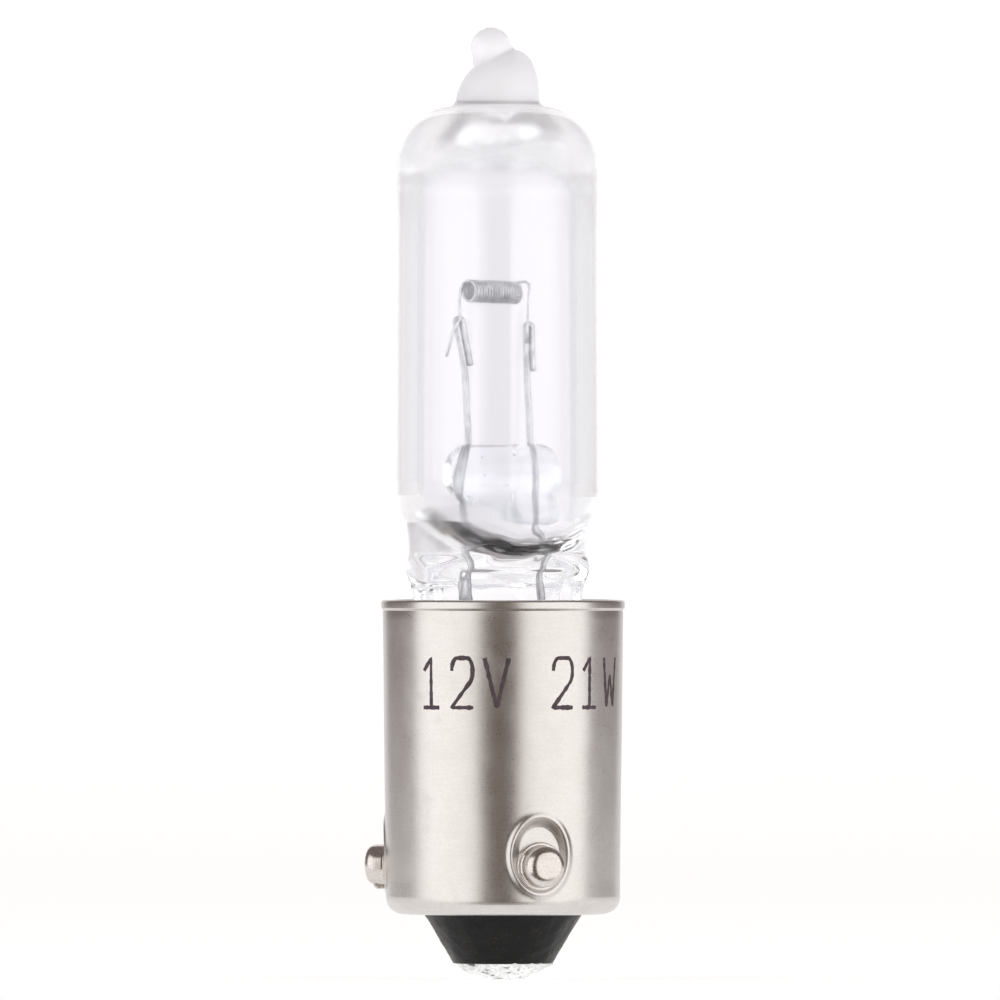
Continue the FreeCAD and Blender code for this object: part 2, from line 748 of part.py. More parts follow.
def make_shell_lead():
    """From the left support wire, back and up through the cement, then out to the shell below its rim."""
    body = body_named("shell_lead", TURNED)
    low = "weld_low - shell_lead_drop"
    path = bent_path(body, "lead_path", "YZ_Plane", [
        ("0", "weld_low"),
        ("0", low, "lead_bend"),
        ("shell_lead_out", low, "lead_bend"),
        ("shell_lead_out", "shell_lead_top", "lead_bend"),
        (SHELL_LEAD_END, "shell_lead_top"),
    ], "left_seal_place")
    ring = circles(body, "lead_section", "XY_Plane", [("left_seal_place", "0", "lead_radius")], "weld_low")
    piped(body, "lead", ring, path)
    return body


def cone_inside_shell(name, low, high, gap):
    """A solid cone that fills the shell between two heights, all round a gap smaller than its inner wall."""
    cone = DOC.addObject("Part::Cone", name)
    cone.setExpression("Radius1", bound(f"{shell_inside(low)} - {gap}"))
    cone.setExpression("Radius2", bound(f"{shell_inside(high)} - {gap}"))
    cone.setExpression("Height", bound(f"({high}) - ({low})"))
    cone.setExpression("Placement.Base.z", bound(low))
    return cone


def make_shell_weld():
    """Weld nugget between the shell lead's end and the shell's inner wall."""
    low, high = "shell_lead_top - shell_weld_radius", "shell_lead_top + shell_weld_radius"
    slug = DOC.addObject("Part::Cylinder", "weld_slug")
    slug.setExpression("Radius", bound("shell_weld_radius"))
    slug.setExpression("Height", bound("shell_radius_high"))
    start = bound("left_seal_place"), bound(SHELL_LEAD_END), bound("shell_lead_top")
    slug.setExpression("Placement", f"{TURNED} * placement(vector({'; '.join(start)}); rotationx(-90))")
    weld = DOC.addObject("Part::Common", "shell_weld")
    weld.Label = "shell_weld"
    weld.Base = slug
    weld.Tool = cone_inside_shell("weld_room", low, high, "press_gap")
    return weld


def box_tool(name, width, depth):
    """A tall box on the press's place, for the cement's pocket."""
    box = DOC.addObject("Part::Box", name)
    box.setExpression("Length", bound(width))
    box.setExpression("Width", bound(depth))
    box.setExpression("Height", bound("cement_top - cement_bottom + 2 * tool_over"))
    corner = bound(f"-({width}) / 2"), bound(f"-({depth}) / 2"), bound("cement_bottom - tool_over")
    box.setExpression("Placement", f"{GLASS_PLACE} * placement(vector({'; '.join(corner)}); rotationz(0))")
    return box


def make_base_cement():
    """Cement between the press and the shell, with a channel for the shell lead."""
    press = box_tool("press_room", "press_width + 2 * cement_gap", "press_thickness + 2 * cement_gap")
    pads = box_tool("pads_room", "pad_width + 2 * cement_gap", "pad_thickness + 2 * cement_gap")
    channel = DOC.addObject("Part::Cylinder", "lead_channel")
    channel.setExpression("Radius", bound("lead_radius + cement_gap"))
    channel.setExpression("Height", bound("cement_top - cement_bottom + 2 * tool_over"))
    start = bound("left_seal_place"), bound("shell_lead_out"), bound("cement_bottom - tool_over")
    channel.setExpression("Placement", f"{TURNED} * placement(vector({'; '.join(start)}); rotationz(0))")
    rooms = DOC.addObject("Part::MultiFuse", "cement_rooms")
    rooms.Shapes = [press, pads, channel]
    cement = DOC.addObject("Part::Cut", "base_cement")
    cement.Label = "base_cement"
    cement.Base = cone_inside_shell("cement_fill", "cement_bottom", "cement_top", "cement_gap")
    cement.Tool = rooms
    return cement


def check(parts):
    """Stop if any feature failed or any sub-part isn't exactly one valid solid."""
    failed = [f"{item.Name} {item.State}" for item in DOC.Objects if {"Invalid", "Error"} & set(item.State)]
    if failed:
        raise SystemExit(f"features failed: {failed}")
    for part in parts:
        shape = part.Shape
        if shape.isNull() or not shape.isValid() or len(shape.Solids) != 1:
            raise SystemExit(f"{part.Label} isn't one valid solid")
        print(f"{part.Label}: {shape.Volume:.3f} mm3")


DOC = FreeCAD.newDocument("signal_bulb")
SHEET = make_sheet(DOC)

PARTS = [
    make_cap_shell(),
    make_pin("bayonet_pin_front", "pin_turn"),
    make_pin("bayonet_pin_side", "pin_turn - pin_spacing"),
    make_insulator(),
    make_contact_eyelet(),
    make_contact_solder(),
    make_glass_envelope(),
    make_exhaust_tip(),
    make_bridge_bead(),
    make_support_wire("left"),
    make_support_wire("right"),
    make_filament(),
    make_lead_weld("left"),
    make_lead_weld("right"),
    make_contact_lead(),
    make_shell_lead(),
    make_shell_weld(),
    make_base_cement(),
]

DOC.recompute()
check(PARTS)
os.makedirs("parts", exist_ok=True)
for part in PARTS:
    part.Shape.exportStep(f"parts/{part.Label}.step")
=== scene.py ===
"""Halogen signal bulb: clear glass envelope, wire mount and coil on a bayonet cap with offset pins.

Every size is in millimetres in the row's own frame: the origin is on the cap's axis in the pins' plane,
+Z runs to the glass tip and -Y is the front. Meshes are written in metres.
"""

import json
import logging
import math
from dataclasses import dataclass, field
from enum import Enum
from typing import Any, Callable, Sequence

import bpy
import numpy as np
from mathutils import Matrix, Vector


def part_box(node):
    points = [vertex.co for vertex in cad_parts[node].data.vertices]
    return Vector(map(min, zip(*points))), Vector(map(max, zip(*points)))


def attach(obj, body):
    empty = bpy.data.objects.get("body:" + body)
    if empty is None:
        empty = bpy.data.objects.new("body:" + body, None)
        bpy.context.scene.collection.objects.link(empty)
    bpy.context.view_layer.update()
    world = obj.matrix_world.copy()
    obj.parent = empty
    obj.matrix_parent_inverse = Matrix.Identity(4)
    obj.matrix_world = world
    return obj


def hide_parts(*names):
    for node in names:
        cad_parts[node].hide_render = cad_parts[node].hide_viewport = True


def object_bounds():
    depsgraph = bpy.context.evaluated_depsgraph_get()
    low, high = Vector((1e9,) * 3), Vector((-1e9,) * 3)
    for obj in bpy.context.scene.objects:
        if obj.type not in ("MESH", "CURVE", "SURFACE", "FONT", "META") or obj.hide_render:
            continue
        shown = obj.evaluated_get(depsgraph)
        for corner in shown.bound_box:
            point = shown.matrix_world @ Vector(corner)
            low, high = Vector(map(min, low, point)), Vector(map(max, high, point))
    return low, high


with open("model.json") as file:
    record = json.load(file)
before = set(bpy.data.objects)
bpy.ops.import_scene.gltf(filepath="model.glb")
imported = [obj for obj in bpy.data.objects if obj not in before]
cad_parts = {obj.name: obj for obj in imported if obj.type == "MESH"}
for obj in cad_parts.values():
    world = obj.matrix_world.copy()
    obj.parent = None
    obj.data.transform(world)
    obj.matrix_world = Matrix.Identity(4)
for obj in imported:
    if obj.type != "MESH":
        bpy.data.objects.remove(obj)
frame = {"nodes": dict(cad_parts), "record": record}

CAD_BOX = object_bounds()
MM = 0.001
TAU = 2.0 * math.pi
WHITE = (1.0, 1.0, 1.0, 1.0)
LOG = logging.getLogger("signal_bulb")

Array = np.ndarray


# ---------------------------------------------------------------- curves and surfaces


def smoothstep(low: float, high: float, value: Array) -> Array:
    """Rise from 0 to 1 between low and high as 3t^2 - 2t^3, flat outside.

    Args:
        low: Value at which the rise starts.
        high: Value at which it ends.
        value: Where it is read.

    Returns:
        The rise at each value.
    """
    t = np.clip((value - low) / (high - low), 0.0, 1.0)
    return t * t * (3.0 - 2.0 * t)


def unit(vectors: Array) -> Array:
    """Each vector divided by its own length."""
    return vectors / np.linalg.norm(vectors, axis=-1, keepdims=True)


def ripple(points: Array, scale: float, seed: int, waves: int = 14) -> Array:
    """Smooth seeded unevenness: the mean of plane waves with random directions and phases.

    Args:
        points: Places, last axis x, y, z.
        scale: Typical distance between bumps, in the units of points.
        seed: Which set of waves.
        waves: How many waves are averaged.

    Returns:
        A value near -1 to 1 at each place.
    """
    rng = np.random.default_rng(seed)
    ways = unit(rng.normal(size=(waves, 3))) * rng.uniform(0.6, 1.6, (waves, 1)) * TAU / scale
    phases = rng.uniform(0.0, TAU, waves)
    return np.sin(points @ ways.T + phases).sum(axis=-1) / math.sqrt(waves)


def rounded_line(corners: Sequence[Sequence[float]], bends: Sequence[float], steps: int = 8,
                 closed: bool = False) -> Array:
    """A polyline whose corners become circular arcs.

    At a corner with unit directions a (in) and b (out) and turn w, the arc of radius r starts r tan(w/2)
    before the corner and is swept as c + r (cos t, sin t) in the corner's plane.

    Args:
        corners: The corner points, in two or three dimensions.
        bends: The arc radius at each corner, 0 for a sharp one.
        steps: Segments in each arc.
        closed: Whether the last corner joins the first.

    Returns:
        The points in order.
    """
    places = np.asarray(corners, float)
    count = len(places)
    out = []
    for i in range(count):
        bend = bends[i]
        if bend <= 0.0 or (not closed and i in (0, count - 1)):
            out.append(places[i][None])
            continue
        into = unit(places[i] - places[i - 1])
        away = unit(places[(i + 1) % count] - places[i])
        turn = math.acos(float(np.clip(into @ away, -1.0, 1.0)))
        if turn < 1e-4:
            out.append(places[i][None])
            continue
        inward = unit(away - into)
        middle = places[i] + inward * bend / math.cos(turn / 2.0)
        angles = np.linspace(-turn / 2.0, turn / 2.0, steps + 1)[:, None]
        along = unit(into + away)
        out.append(middle - inward * bend * np.cos(angles) + along * bend * np.sin(angles))
    return np.concatenate(out)


def resampled(points: Array, spacing: float) -> Array:
    """The same polyline with extra points wherever two neighbours are further apart than spacing.

    Args:
        points: The polyline.
        spacing: The widest step that is left.

    Returns:
        The points in order.
    """
    gaps = np.linalg.norm(np.diff(points, axis=0), axis=1)
    parts = np.maximum(1, np.ceil(gaps / spacing)).astype(int)
    start = np.repeat(np.arange(len(parts)), parts)
    share = (np.arange(parts.sum()) - np.repeat(np.cumsum(parts) - parts, parts)) / np.repeat(parts, parts)
    inner = points[start] * (1.0 - share[:, None]) + points[start + 1] * share[:, None]
    return np.concatenate([inner, points[-1:]])


class Skin:
    """Points and faces of one mesh, gathered grid by grid, in millimetres."""

    def __init__(self) -> None:
        """Start with nothing."""
        self.points: list[Array] = []
        self.faces: list[list[int]] = []
        self.count = 0

    def _keep(self, points: Array) -> int:
        """Add points and return the number of the first.

        Args:
            points: Any array whose last axis is x, y, z.

        Returns:
            The first one's number in the mesh.
        """
        first = self.count
        self.points.append(points.reshape(-1, 3))
        self.count += points.reshape(-1, 3).shape[0]
        return first

    def grid(self, points: Array, ring: bool = True, loop: bool = False, flip: bool = False,
             start_pole: Array | None = None, end_pole: Array | None = None) -> "Skin":
        """Join a grid of points into four-sided faces.

        Args:
            points: Rows by columns by 3. Rows that rise while columns run counterclockwise face outwards.
            ring: Whether the last column joins the first.
            loop: Whether the last row joins the first.
            flip: Turn the faces over.
            start_pole: A point that closes the first row with a fan.
            end_pole: A point that closes the last row with a fan.

        Returns:
            This skin.
        """
        rows, columns = points.shape[:2]
        first = self._keep(points)
        index = first + np.arange(rows * columns).reshape(rows, columns)
        right = np.roll(index, -1, axis=1)
        above = np.roll(index, -1, axis=0)
        corner = np.roll(right, -1, axis=0)
        quads = np.stack([index, right, corner, above], axis=-1)
        quads = quads[: rows if loop else rows - 1, : columns if ring else columns - 1].reshape(-1, 4)
        self.faces += (quads[:, ::-1] if flip else quads).tolist()
        for pole, row, outward in ((start_pole, 0, True), (end_pole, rows - 1, False)):
            if pole is None:
                continue
            tip = self._keep(np.asarray(pole, float)[None])
            fan = np.stack([np.full(columns, tip), right[row], index[row]], axis=-1)
            self.faces += (fan if outward != flip else fan[:, ::-1]).tolist()
        return self

    def piece(self, name: str) -> bpy.types.Object:
        """A smooth-shaded object at the origin with these points and faces.

        Args:
            name: The object's and the mesh's name.

        Returns:
            The object, linked to the scene.
        """
        mesh = bpy.data.meshes.new(name)
        mesh.from_pydata((np.concatenate(self.points) * MM).tolist(), [], self.faces)
        mesh.polygons.foreach_set("use_smooth", np.ones(len(mesh.polygons), bool))
        mesh.validate()
        mesh.update()
        made = bpy.data.objects.new(name, mesh)
        bpy.context.scene.collection.objects.link(made)
        return made


def turned_grid(profile: Array, columns: Array, place: Callable[[Array, Array, Array], Array]) -> Array:
    """Carry a profile round an axis: at angle t the point is place(r cos t, r sin t, h).

    Args:
        profile: Points by (radius, height).
        columns: The angles, in radians.
        place: Where a point given by across, along and height arrays goes.

    Returns:
        Profile points by angles by 3.
    """
    radius, height = profile[:, :1], profile[:, 1:2]
    across = radius * np.cos(columns)
    along = radius * np.sin(columns)
    return place(across, along, np.broadcast_to(height, across.shape))


def upright(across: Array, along: Array, height: Array) -> Array:
    """The cap's own axes: X, Y and Z."""
    return np.stack([across, along, height], axis=-1)


def even_turn(count: int) -> Array:
    """That many equal angles round a full turn."""
    return np.arange(count) * TAU / count


def tube_grid(path: Array, wide: Array | float, high: Array | float, sides: int,
              up: Array | None = None) -> Array:
    """Rings round a path: centre + wide cos t * side + high sin t * up.

    Side and up are square to the path. Without up, the frame is carried along the path by the double
    reflection of each step, so that it doesn't twist.

    Args:
        path: Points along the tube.
        wide: Half width at each point, or one for all.
        high: Half height at each point, or one for all.
        sides: Points in each ring.
        up: The wanted up direction at each point, or None.

    Returns:
        Path points by sides by 3.
    """
    ahead = unit(np.gradient(path, axis=0))
    if up is None:
        up = np.empty_like(path)
        start = np.array([0.0, 1.0, 0.0]) if abs(ahead[0, 1]) < 0.9 else np.array([1.0, 0.0, 0.0])
        up[0] = unit(start - (start @ ahead[0]) * ahead[0])
        for i in range(len(path) - 1):
            step = path[i + 1] - path[i]
            square = max(float(step @ step), 1e-18)
            flat_up = up[i] - 2.0 / square * (step @ up[i]) * step
            flat_ahead = ahead[i] - 2.0 / square * (step @ ahead[i]) * step
            turn = ahead[i + 1] - flat_ahead
            square = max(float(turn @ turn), 1e-18)
            up[i + 1] = flat_up - 2.0 / square * (turn @ flat_up) * turn
    else:
        up = unit(up - (up * ahead).sum(axis=1, keepdims=True) * ahead)
    side = np.cross(ahead, up)
    angles = even_turn(sides)[None, :, None]
    wide = np.broadcast_to(wide, len(path))[:, None, None]
    high = np.broadcast_to(high, len(path))[:, None, None]
    return path[:, None] + wide * np.cos(angles) * side[:, None] + high * np.sin(angles) * up[:, None]


def tube(skin: Skin, path: Array, wide: Array | float, high: Array | float, sides: int,
         up: Array | None = None) -> Skin:
    """Add a closed tube with slightly domed ends to a skin.

    Args:
        skin: Where it goes.
        path: Points along the tube.
        wide: Half width, as in tube_grid.
        high: Half height, as in tube_grid.
        sides: Points in each ring.
        up: The wanted up direction, or None.

    Returns:
        The skin.
    """
    rings = tube_grid(path, wide, high, sides, up)
    bulge = 0.3 * float(np.min(np.broadcast_to(high, len(path))))
    first = path[0] - unit(path[1] - path[0]) * bulge
    last = path[-1] + unit(path[-1] - path[-2]) * bulge
    return skin.grid(rings, flip=True, start_pole=first, end_pole=last)


# ---------------------------------------------------------------- shading


class Signal:
    """One output socket, on which Python's operators add Math nodes."""

    def __init__(self, recipe: "Recipe", socket: bpy.types.NodeSocket) -> None:
        """Keep the socket and the recipe that it belongs to."""
        self.recipe = recipe
        self.socket = socket

    def _math(self, operation: str, first: Any, second: Any, clamp: bool = False) -> "Signal":
        """A Math node on two values or signals."""
        settings = {"operation": operation, "use_clamp": clamp}
        return self.recipe.signal("ShaderNodeMath", settings, {0: first, 1: second})

    def __add__(self, other: Any) -> "Signal":
        """Sum."""
        return self._math("ADD", self, other)

    __radd__ = __add__

    def __sub__(self, other: Any) -> "Signal":
        """Difference."""
        return self._math("SUBTRACT", self, other)

    def __rsub__(self, other: Any) -> "Signal":
        """Difference from a value."""
        return self._math("SUBTRACT", other, self)

    def __mul__(self, other: Any) -> "Signal":
        """Product."""
        return self._math("MULTIPLY", self, other)

    __rmul__ = __mul__

    def clamped(self) -> "Signal":
        """The same, held between 0 and 1."""
        return self._math("ADD", self, 0.0, clamp=True)

    def larger(self, other: Any) -> "Signal":
        """The larger of two."""
        return self._math("MAXIMUM", self, other)

    def between(self, low: float, high: float) -> "Signal":
        """A smooth rise from 0 at low to 1 at high."""
        settings = {"interpolation_type": "SMOOTHSTEP", "clamp": True}
        return self.recipe.signal("ShaderNodeMapRange", settings, {"Value": self, "From Min": low,
                                                                   "From Max": high})


class Recipe:
    """The nodes of a material or a world, added one call at a time."""

    def __init__(self, owner: bpy.types.Material | bpy.types.World) -> None:
        """Clear the owner's nodes.

        Args:
            owner: The material or world.
        """
        self.owner = owner
        owner.use_nodes = True
        self.tree = owner.node_tree
        self.tree.nodes.clear()

    @classmethod
    def named(cls, name: str) -> "Recipe":
        """A recipe for a new material of that name."""
        return cls(bpy.data.materials.new(name))

    def node(self, kind: str, settings: dict[str, Any] | None = None,
             inputs: dict[Any, Any] | None = None) -> bpy.types.Node:
        """Add a node.

        Args:
            kind: The node's type.
            settings: Its own settings, set first.
            inputs: Values, signals or sockets for its input sockets, by name or number.

        Returns:
            The node.
        """
        made = self.tree.nodes.new(kind)
        for key, value in (settings or {}).items():
            setattr(made, key, value)
        for key, value in (inputs or {}).items():
            if isinstance(value, Signal):
                self.tree.links.new(value.socket, made.inputs[key])
            elif isinstance(value, bpy.types.NodeSocket):
                self.tree.links.new(value, made.inputs[key])
            else:
                made.inputs[key].default_value = value
        return made

    def signal(self, kind: str, settings: dict[str, Any] | None = None,
               inputs: dict[Any, Any] | None = None, output: Any = 0) -> Signal:
        """Add a node and return one of its outputs as a signal."""
        return Signal(self, self.node(kind, settings, inputs).outputs[output])

    def object_place(self, scale: Sequence[float] = (1.0, 1.0, 1.0)) -> Signal:
        """Object coordinates in millimetres, times a scale along each axis.

        Args:
            scale: The factor along X, Y and Z.

        Returns:
            The place as a signal.
        """
        place = self.signal("ShaderNodeTexCoord", output="Object")
        factor = [s / MM for s in scale]
        return self.signal("ShaderNodeVectorMath", {"operation": "MULTIPLY"}, {0: place, 1: factor})

    def noise(self, place: Signal, scale: float, detail: float = 3.0, roughness: float = 0.55,
              distortion: float = 0.0) -> Signal:
        """Fractal noise, about 0 to 1, with scale features to the millimetre."""
        return self.signal("ShaderNodeTexNoise", None, {"Vector": place, "Scale": scale, "Detail": detail,
                                                        "Roughness": roughness, "Distortion": distortion})

    def blend(self, share: Any, first: Any, second: Any) -> Signal:
        """A colour that goes from first to second as share goes from 0 to 1.

        Args:
            share: The second colour's share.
            first: A colour or a signal.
            second: Another.

        Returns:
            The colour as a signal.
        """
        made = self.node("ShaderNodeMix", {"data_type": "RGBA", "clamp_factor": True})
        for index, value in ((0, share), (6, first), (7, second)):
            if isinstance(value, Signal):
                self.tree.links.new(value.socket, made.inputs[index])
            else:
                made.inputs[index].default_value = (*value, 1.0) if index else value
        return Signal(self, made.outputs[2])

    def bumped(self, height: Signal, distance: float) -> Signal:
        """A normal bent by a height signal, whose full range stands for a distance in millimetres."""
        return self.signal("ShaderNodeBump", None, {"Height": height, "Distance": distance * MM,
                                                    "Strength": 1.0})

    def ray_kinds(self) -> tuple[Signal, Signal, Signal]:
        """Whether a ray comes from the camera, through glass or off a glossy surface.

        Returns:
            One signal for each of the three, 1 where it is so.
        """
        path = self.node("ShaderNodeLightPath")
        names = ("Is Camera Ray", "Is Transmission Ray", "Is Glossy Ray")
        direct, through, mirrored = (Signal(self, path.outputs[name]) for name in names)
        return direct, through, mirrored

    def surface(self, shader: bpy.types.Node) -> bpy.types.Material:
        """End a material's recipe with a shader and return the material."""
        self.node("ShaderNodeOutputMaterial", None, {"Surface": shader.outputs[0]})
        return self.owner


@dataclass(frozen=True)
class Nickel:
    """Satin nickel plate: warm mottle, fine grain, hairline scratches and a few dull stains."""

    name: str
    light: tuple[float, float, float] = (0.70, 0.685, 0.665)
    dark: tuple[float, float, float] = (0.63, 0.605, 0.58)
    roughness: float = 0.30
    grain: float = 0.0008

    def material(self) -> bpy.types.Material:
        """The finish as a material.

        Returns:
            The material, ready for a mesh.
        """
        r = Recipe.named(self.name)
        place = r.object_place()
        mottle = r.noise(place, 0.9, 4.0, 0.6)
        speck = r.noise(place, 15.0, 2.0, 0.5)
        rings = r.noise(r.object_place((0.7, 0.7, 9.0)), 1.6, 3.0, 0.6)
        stain = r.noise(place, 0.55, 5.0, 0.62, 0.6).between(0.60, 0.72)
        tone = (mottle * 0.35 + speck * 0.45 + rings * 0.2).between(0.38, 0.64)
        colour = r.blend(tone, self.dark, self.light)
        colour = r.blend(stain * 0.2, colour, tuple(c * 0.78 for c in self.dark))
        rough = (mottle - 0.5) * 0.06 + (speck - 0.5) * 0.12 + stain * 0.05 + self.roughness
        grain = r.noise(place, 26.0, 2.0, 0.6)
        hair = r.noise(r.object_place((1.0, 1.0, 24.0)), 2.2, 2.0, 0.5)
        bump = r.bumped(grain * 0.7 + hair * 0.3, self.grain)
        shader = r.node("ShaderNodeBsdfPrincipled", None, {
            "Base Color": colour, "Metallic": 1.0, "Roughness": rough.clamped(), "Normal": bump})
        return r.surface(shader)


@dataclass(frozen=True)
class BlackCompound:
    """Black moulded insulating compound: satin, slightly pitted, with paler dust."""

    name: str = "black_compound"
    body: tuple[float, float, float] = (0.006, 0.0058, 0.0056)
    dust: tuple[float, float, float] = (0.035, 0.033, 0.031)
    roughness: float = 0.36

    def material(self) -> bpy.types.Material:
        """The finish as a material.

        Returns:
            The material, ready for a mesh.
        """
        r = Recipe.named(self.name)
        place = r.object_place()
        cloud = r.noise(place, 1.3, 4.0, 0.6)
        fine = r.noise(place, 11.0, 3.0, 0.65)
        colour = r.blend((cloud * 0.5 + fine * 0.5).between(0.50, 0.72), self.body, self.dust)
        rough = (fine - 0.5) * 0.35 + (cloud - 0.5) * 0.2 + self.roughness
        bump = r.bumped(fine * 0.4 + cloud * 0.6, 0.05)
        shader = r.node("ShaderNodeBsdfPrincipled", None, {
            "Base Color": colour, "Roughness": rough.clamped(), "Specular IOR Level": 0.2, "Normal": bump})
        return r.surface(shader)


@dataclass(frozen=True)
class Solder:
    """Dull tin solder: grainy grey skin, dark flux spots and a brown tinge in the hollows."""

    name: str = "tin_solder"
    bright: tuple[float, float, float] = (0.92, 0.93, 0.92)
    grey: tuple[float, float, float] = (0.64, 0.65, 0.64)
    flux: tuple[float, float, float] = (0.10, 0.075, 0.05)
    roughness: float = 0.38

    def material(self) -> bpy.types.Material:
        """The finish as a material.

        Returns:
            The material, ready for a mesh.
        """
        r = Recipe.named(self.name)
        place = r.object_place()
        grain = r.noise(place, 7.0, 4.0, 0.7)
        spots = r.noise(place, 2.1, 3.0, 0.6, 0.4)
        colour = r.blend(grain.between(0.38, 0.62), self.grey, self.bright)
        dirty = spots.between(0.60, 0.70)
        colour = r.blend(dirty * 0.85, colour, self.flux)
        rough = (grain - 0.5) * 0.5 + self.roughness + dirty * 0.2
        shader = r.node("ShaderNodeBsdfPrincipled", None, {
            "Base Color": colour, "Metallic": 1.0 - dirty * 0.7, "Roughness": rough.clamped(),
            "Normal": r.bumped(grain, 0.06)})
        return r.surface(shader)


@dataclass(frozen=True)
class Glass:
    """Clear hard glass with faint draw lines and a haze; light for shadows passes straight.

    The haze grows towards the dome, thins in it, and is strongest on the tip. A fainter one lies on one
    side of the neck. Each rise is the pair of heights where a haze starts and where it is full.
    """

    name: str
    tint: tuple[float, float, float] = (0.895, 0.895, 0.92)
    wave: float = 0.004
    refraction: float = 1.48
    clear_roughness: float = 0.085
    haze: float = 0.2
    haze_rise: tuple[float, float] = (22.6, 27.2)
    dome_rise: tuple[float, float] = (26.5, 27.4)
    dome_share: float = 0.6
    tip_haze: float = 0.38
    tip_rise: tuple[float, float] = (28.25, 28.65)
    neck_haze: float = 0.14
    neck_rise: tuple[float, float] = (11.2, 11.7)
    neck_fall: tuple[float, float] = (13.2, 13.8)
    neck_side: tuple[float, float] = (-2.8, 0.2)

    def material(self) -> bpy.types.Material:
        """The finish as a material.

        Returns:
            The material, ready for a mesh.
        """
        r = Recipe.named(self.name)
        long_waves = r.noise(r.object_place((1.0, 1.0, 0.12)), 0.7, 2.0, 0.5)
        bump = r.bumped(long_waves, self.wave)
        place = r.node("ShaderNodeSeparateXYZ", None, {0: r.object_place()})
        height, across = Signal(r, place.outputs["Z"]), Signal(r, place.outputs["X"])
        rough = height.between(*self.haze_rise) * self.haze + self.clear_roughness
        rough = rough - height.between(*self.dome_rise) * (self.haze * self.dome_share)
        rough = height.between(*self.tip_rise) * self.tip_haze + rough
        neck = height.between(*self.neck_rise) * (1.0 - height.between(*self.neck_fall))
        rough = neck * (1.0 - across.between(*self.neck_side)) * self.neck_haze + rough
        shader = r.node("ShaderNodeBsdfPrincipled", None, {
            "Base Color": (*self.tint, 1.0), "Roughness": rough, "IOR": self.refraction,
            "Transmission Weight": 1.0, "Normal": bump})
        clear = r.node("ShaderNodeBsdfTransparent")
        shadow = r.node("ShaderNodeLightPath").outputs["Is Shadow Ray"]
        mixed = r.node("ShaderNodeMixShader", None, {0: shadow, 1: shader.outputs[0], 2: clear.outputs[0]})
        return r.surface(mixed)


@dataclass(frozen=True)
class DrawnWire:
    """Drawn metal wire: fine die lines, oxide mottle and a duller patch here and there."""

    name: str
    light: tuple[float, float, float]
    dark: tuple[float, float, float]
    roughness: float
    metal: float = 1.0

    def material(self) -> bpy.types.Material:
        """The finish as a material.

        Returns:
            The material, ready for a mesh.
        """
        r = Recipe.named(self.name)
        place = r.object_place()
        patch = r.noise(place, 2.4, 4.0, 0.62)
        lines = r.noise(r.object_place((14.0, 14.0, 1.2)), 1.0, 2.0, 0.5)
        colour = r.blend((patch * 0.6 + lines * 0.4).between(0.36, 0.64), self.dark, self.light)
        rough = (patch - 0.5) * 0.3 + self.roughness
        shader = r.node("ShaderNodeBsdfPrincipled", None, {
            "Base Color": colour, "Metallic": self.metal, "Roughness": rough.clamped(),
            "Normal": r.bumped(lines, 0.006)})
        return r.surface(shader)


@dataclass(frozen=True)
class Powdery:
    """A matt mineral or printed surface: two tones, coarse and fine grain."""

    name: str
    light: tuple[float, float, float]
    dark: tuple[float, float, float]
    roughness: float
    grain: float
    relief: float

    def material(self) -> bpy.types.Material:
        """The finish as a material.

        Returns:
            The material, ready for a mesh.
        """
        r = Recipe.named(self.name)
        place = r.object_place()
        coarse = r.noise(place, self.grain, 4.0, 0.6)
        fine = r.noise(place, self.grain * 7.0, 3.0, 0.6)
        colour = r.blend((coarse * 0.6 + fine * 0.4).between(0.35, 0.65), self.dark, self.light)
        shader = r.node("ShaderNodeBsdfPrincipled", None, {
            "Base Color": colour, "Roughness": ((fine - 0.5) * 0.3 + self.roughness).clamped(),
            "Normal": r.bumped(coarse * 0.5 + fine * 0.5, self.relief)})
        return r.surface(shader)


@dataclass(frozen=True)
class StudioWhite:
    """Plain pale stage surface that keeps shadows: white seen directly, in metal and through glass."""

    name: str
    albedo: float = 0.8
    glow: float = 0.72

    def material(self) -> bpy.types.Material:
        """The finish as a material.

        Returns:
            The material, ready for a mesh.
        """
        r = Recipe.named(self.name)
        direct, through, mirrored = r.ray_kinds()
        seen = direct.larger(through).larger(mirrored)
        grey = (self.albedo, self.albedo, self.albedo, 1.0)
        paint = r.node("ShaderNodeBsdfDiffuse", None, {"Color": grey})
        light = r.node("ShaderNodeEmission", None, {"Color": WHITE, "Strength": seen * self.glow})
        lit = r.node("ShaderNodeAddShader", None, {0: paint.outputs[0], 1: light.outputs[0]})
        below = r.node("ShaderNodeNewGeometry").outputs["Backfacing"]
        clear = r.node("ShaderNodeBsdfTransparent")
        mixed = r.node("ShaderNodeMixShader", None, {0: below, 1: lit.outputs[0], 2: clear.outputs[0]})
        return r.surface(mixed)


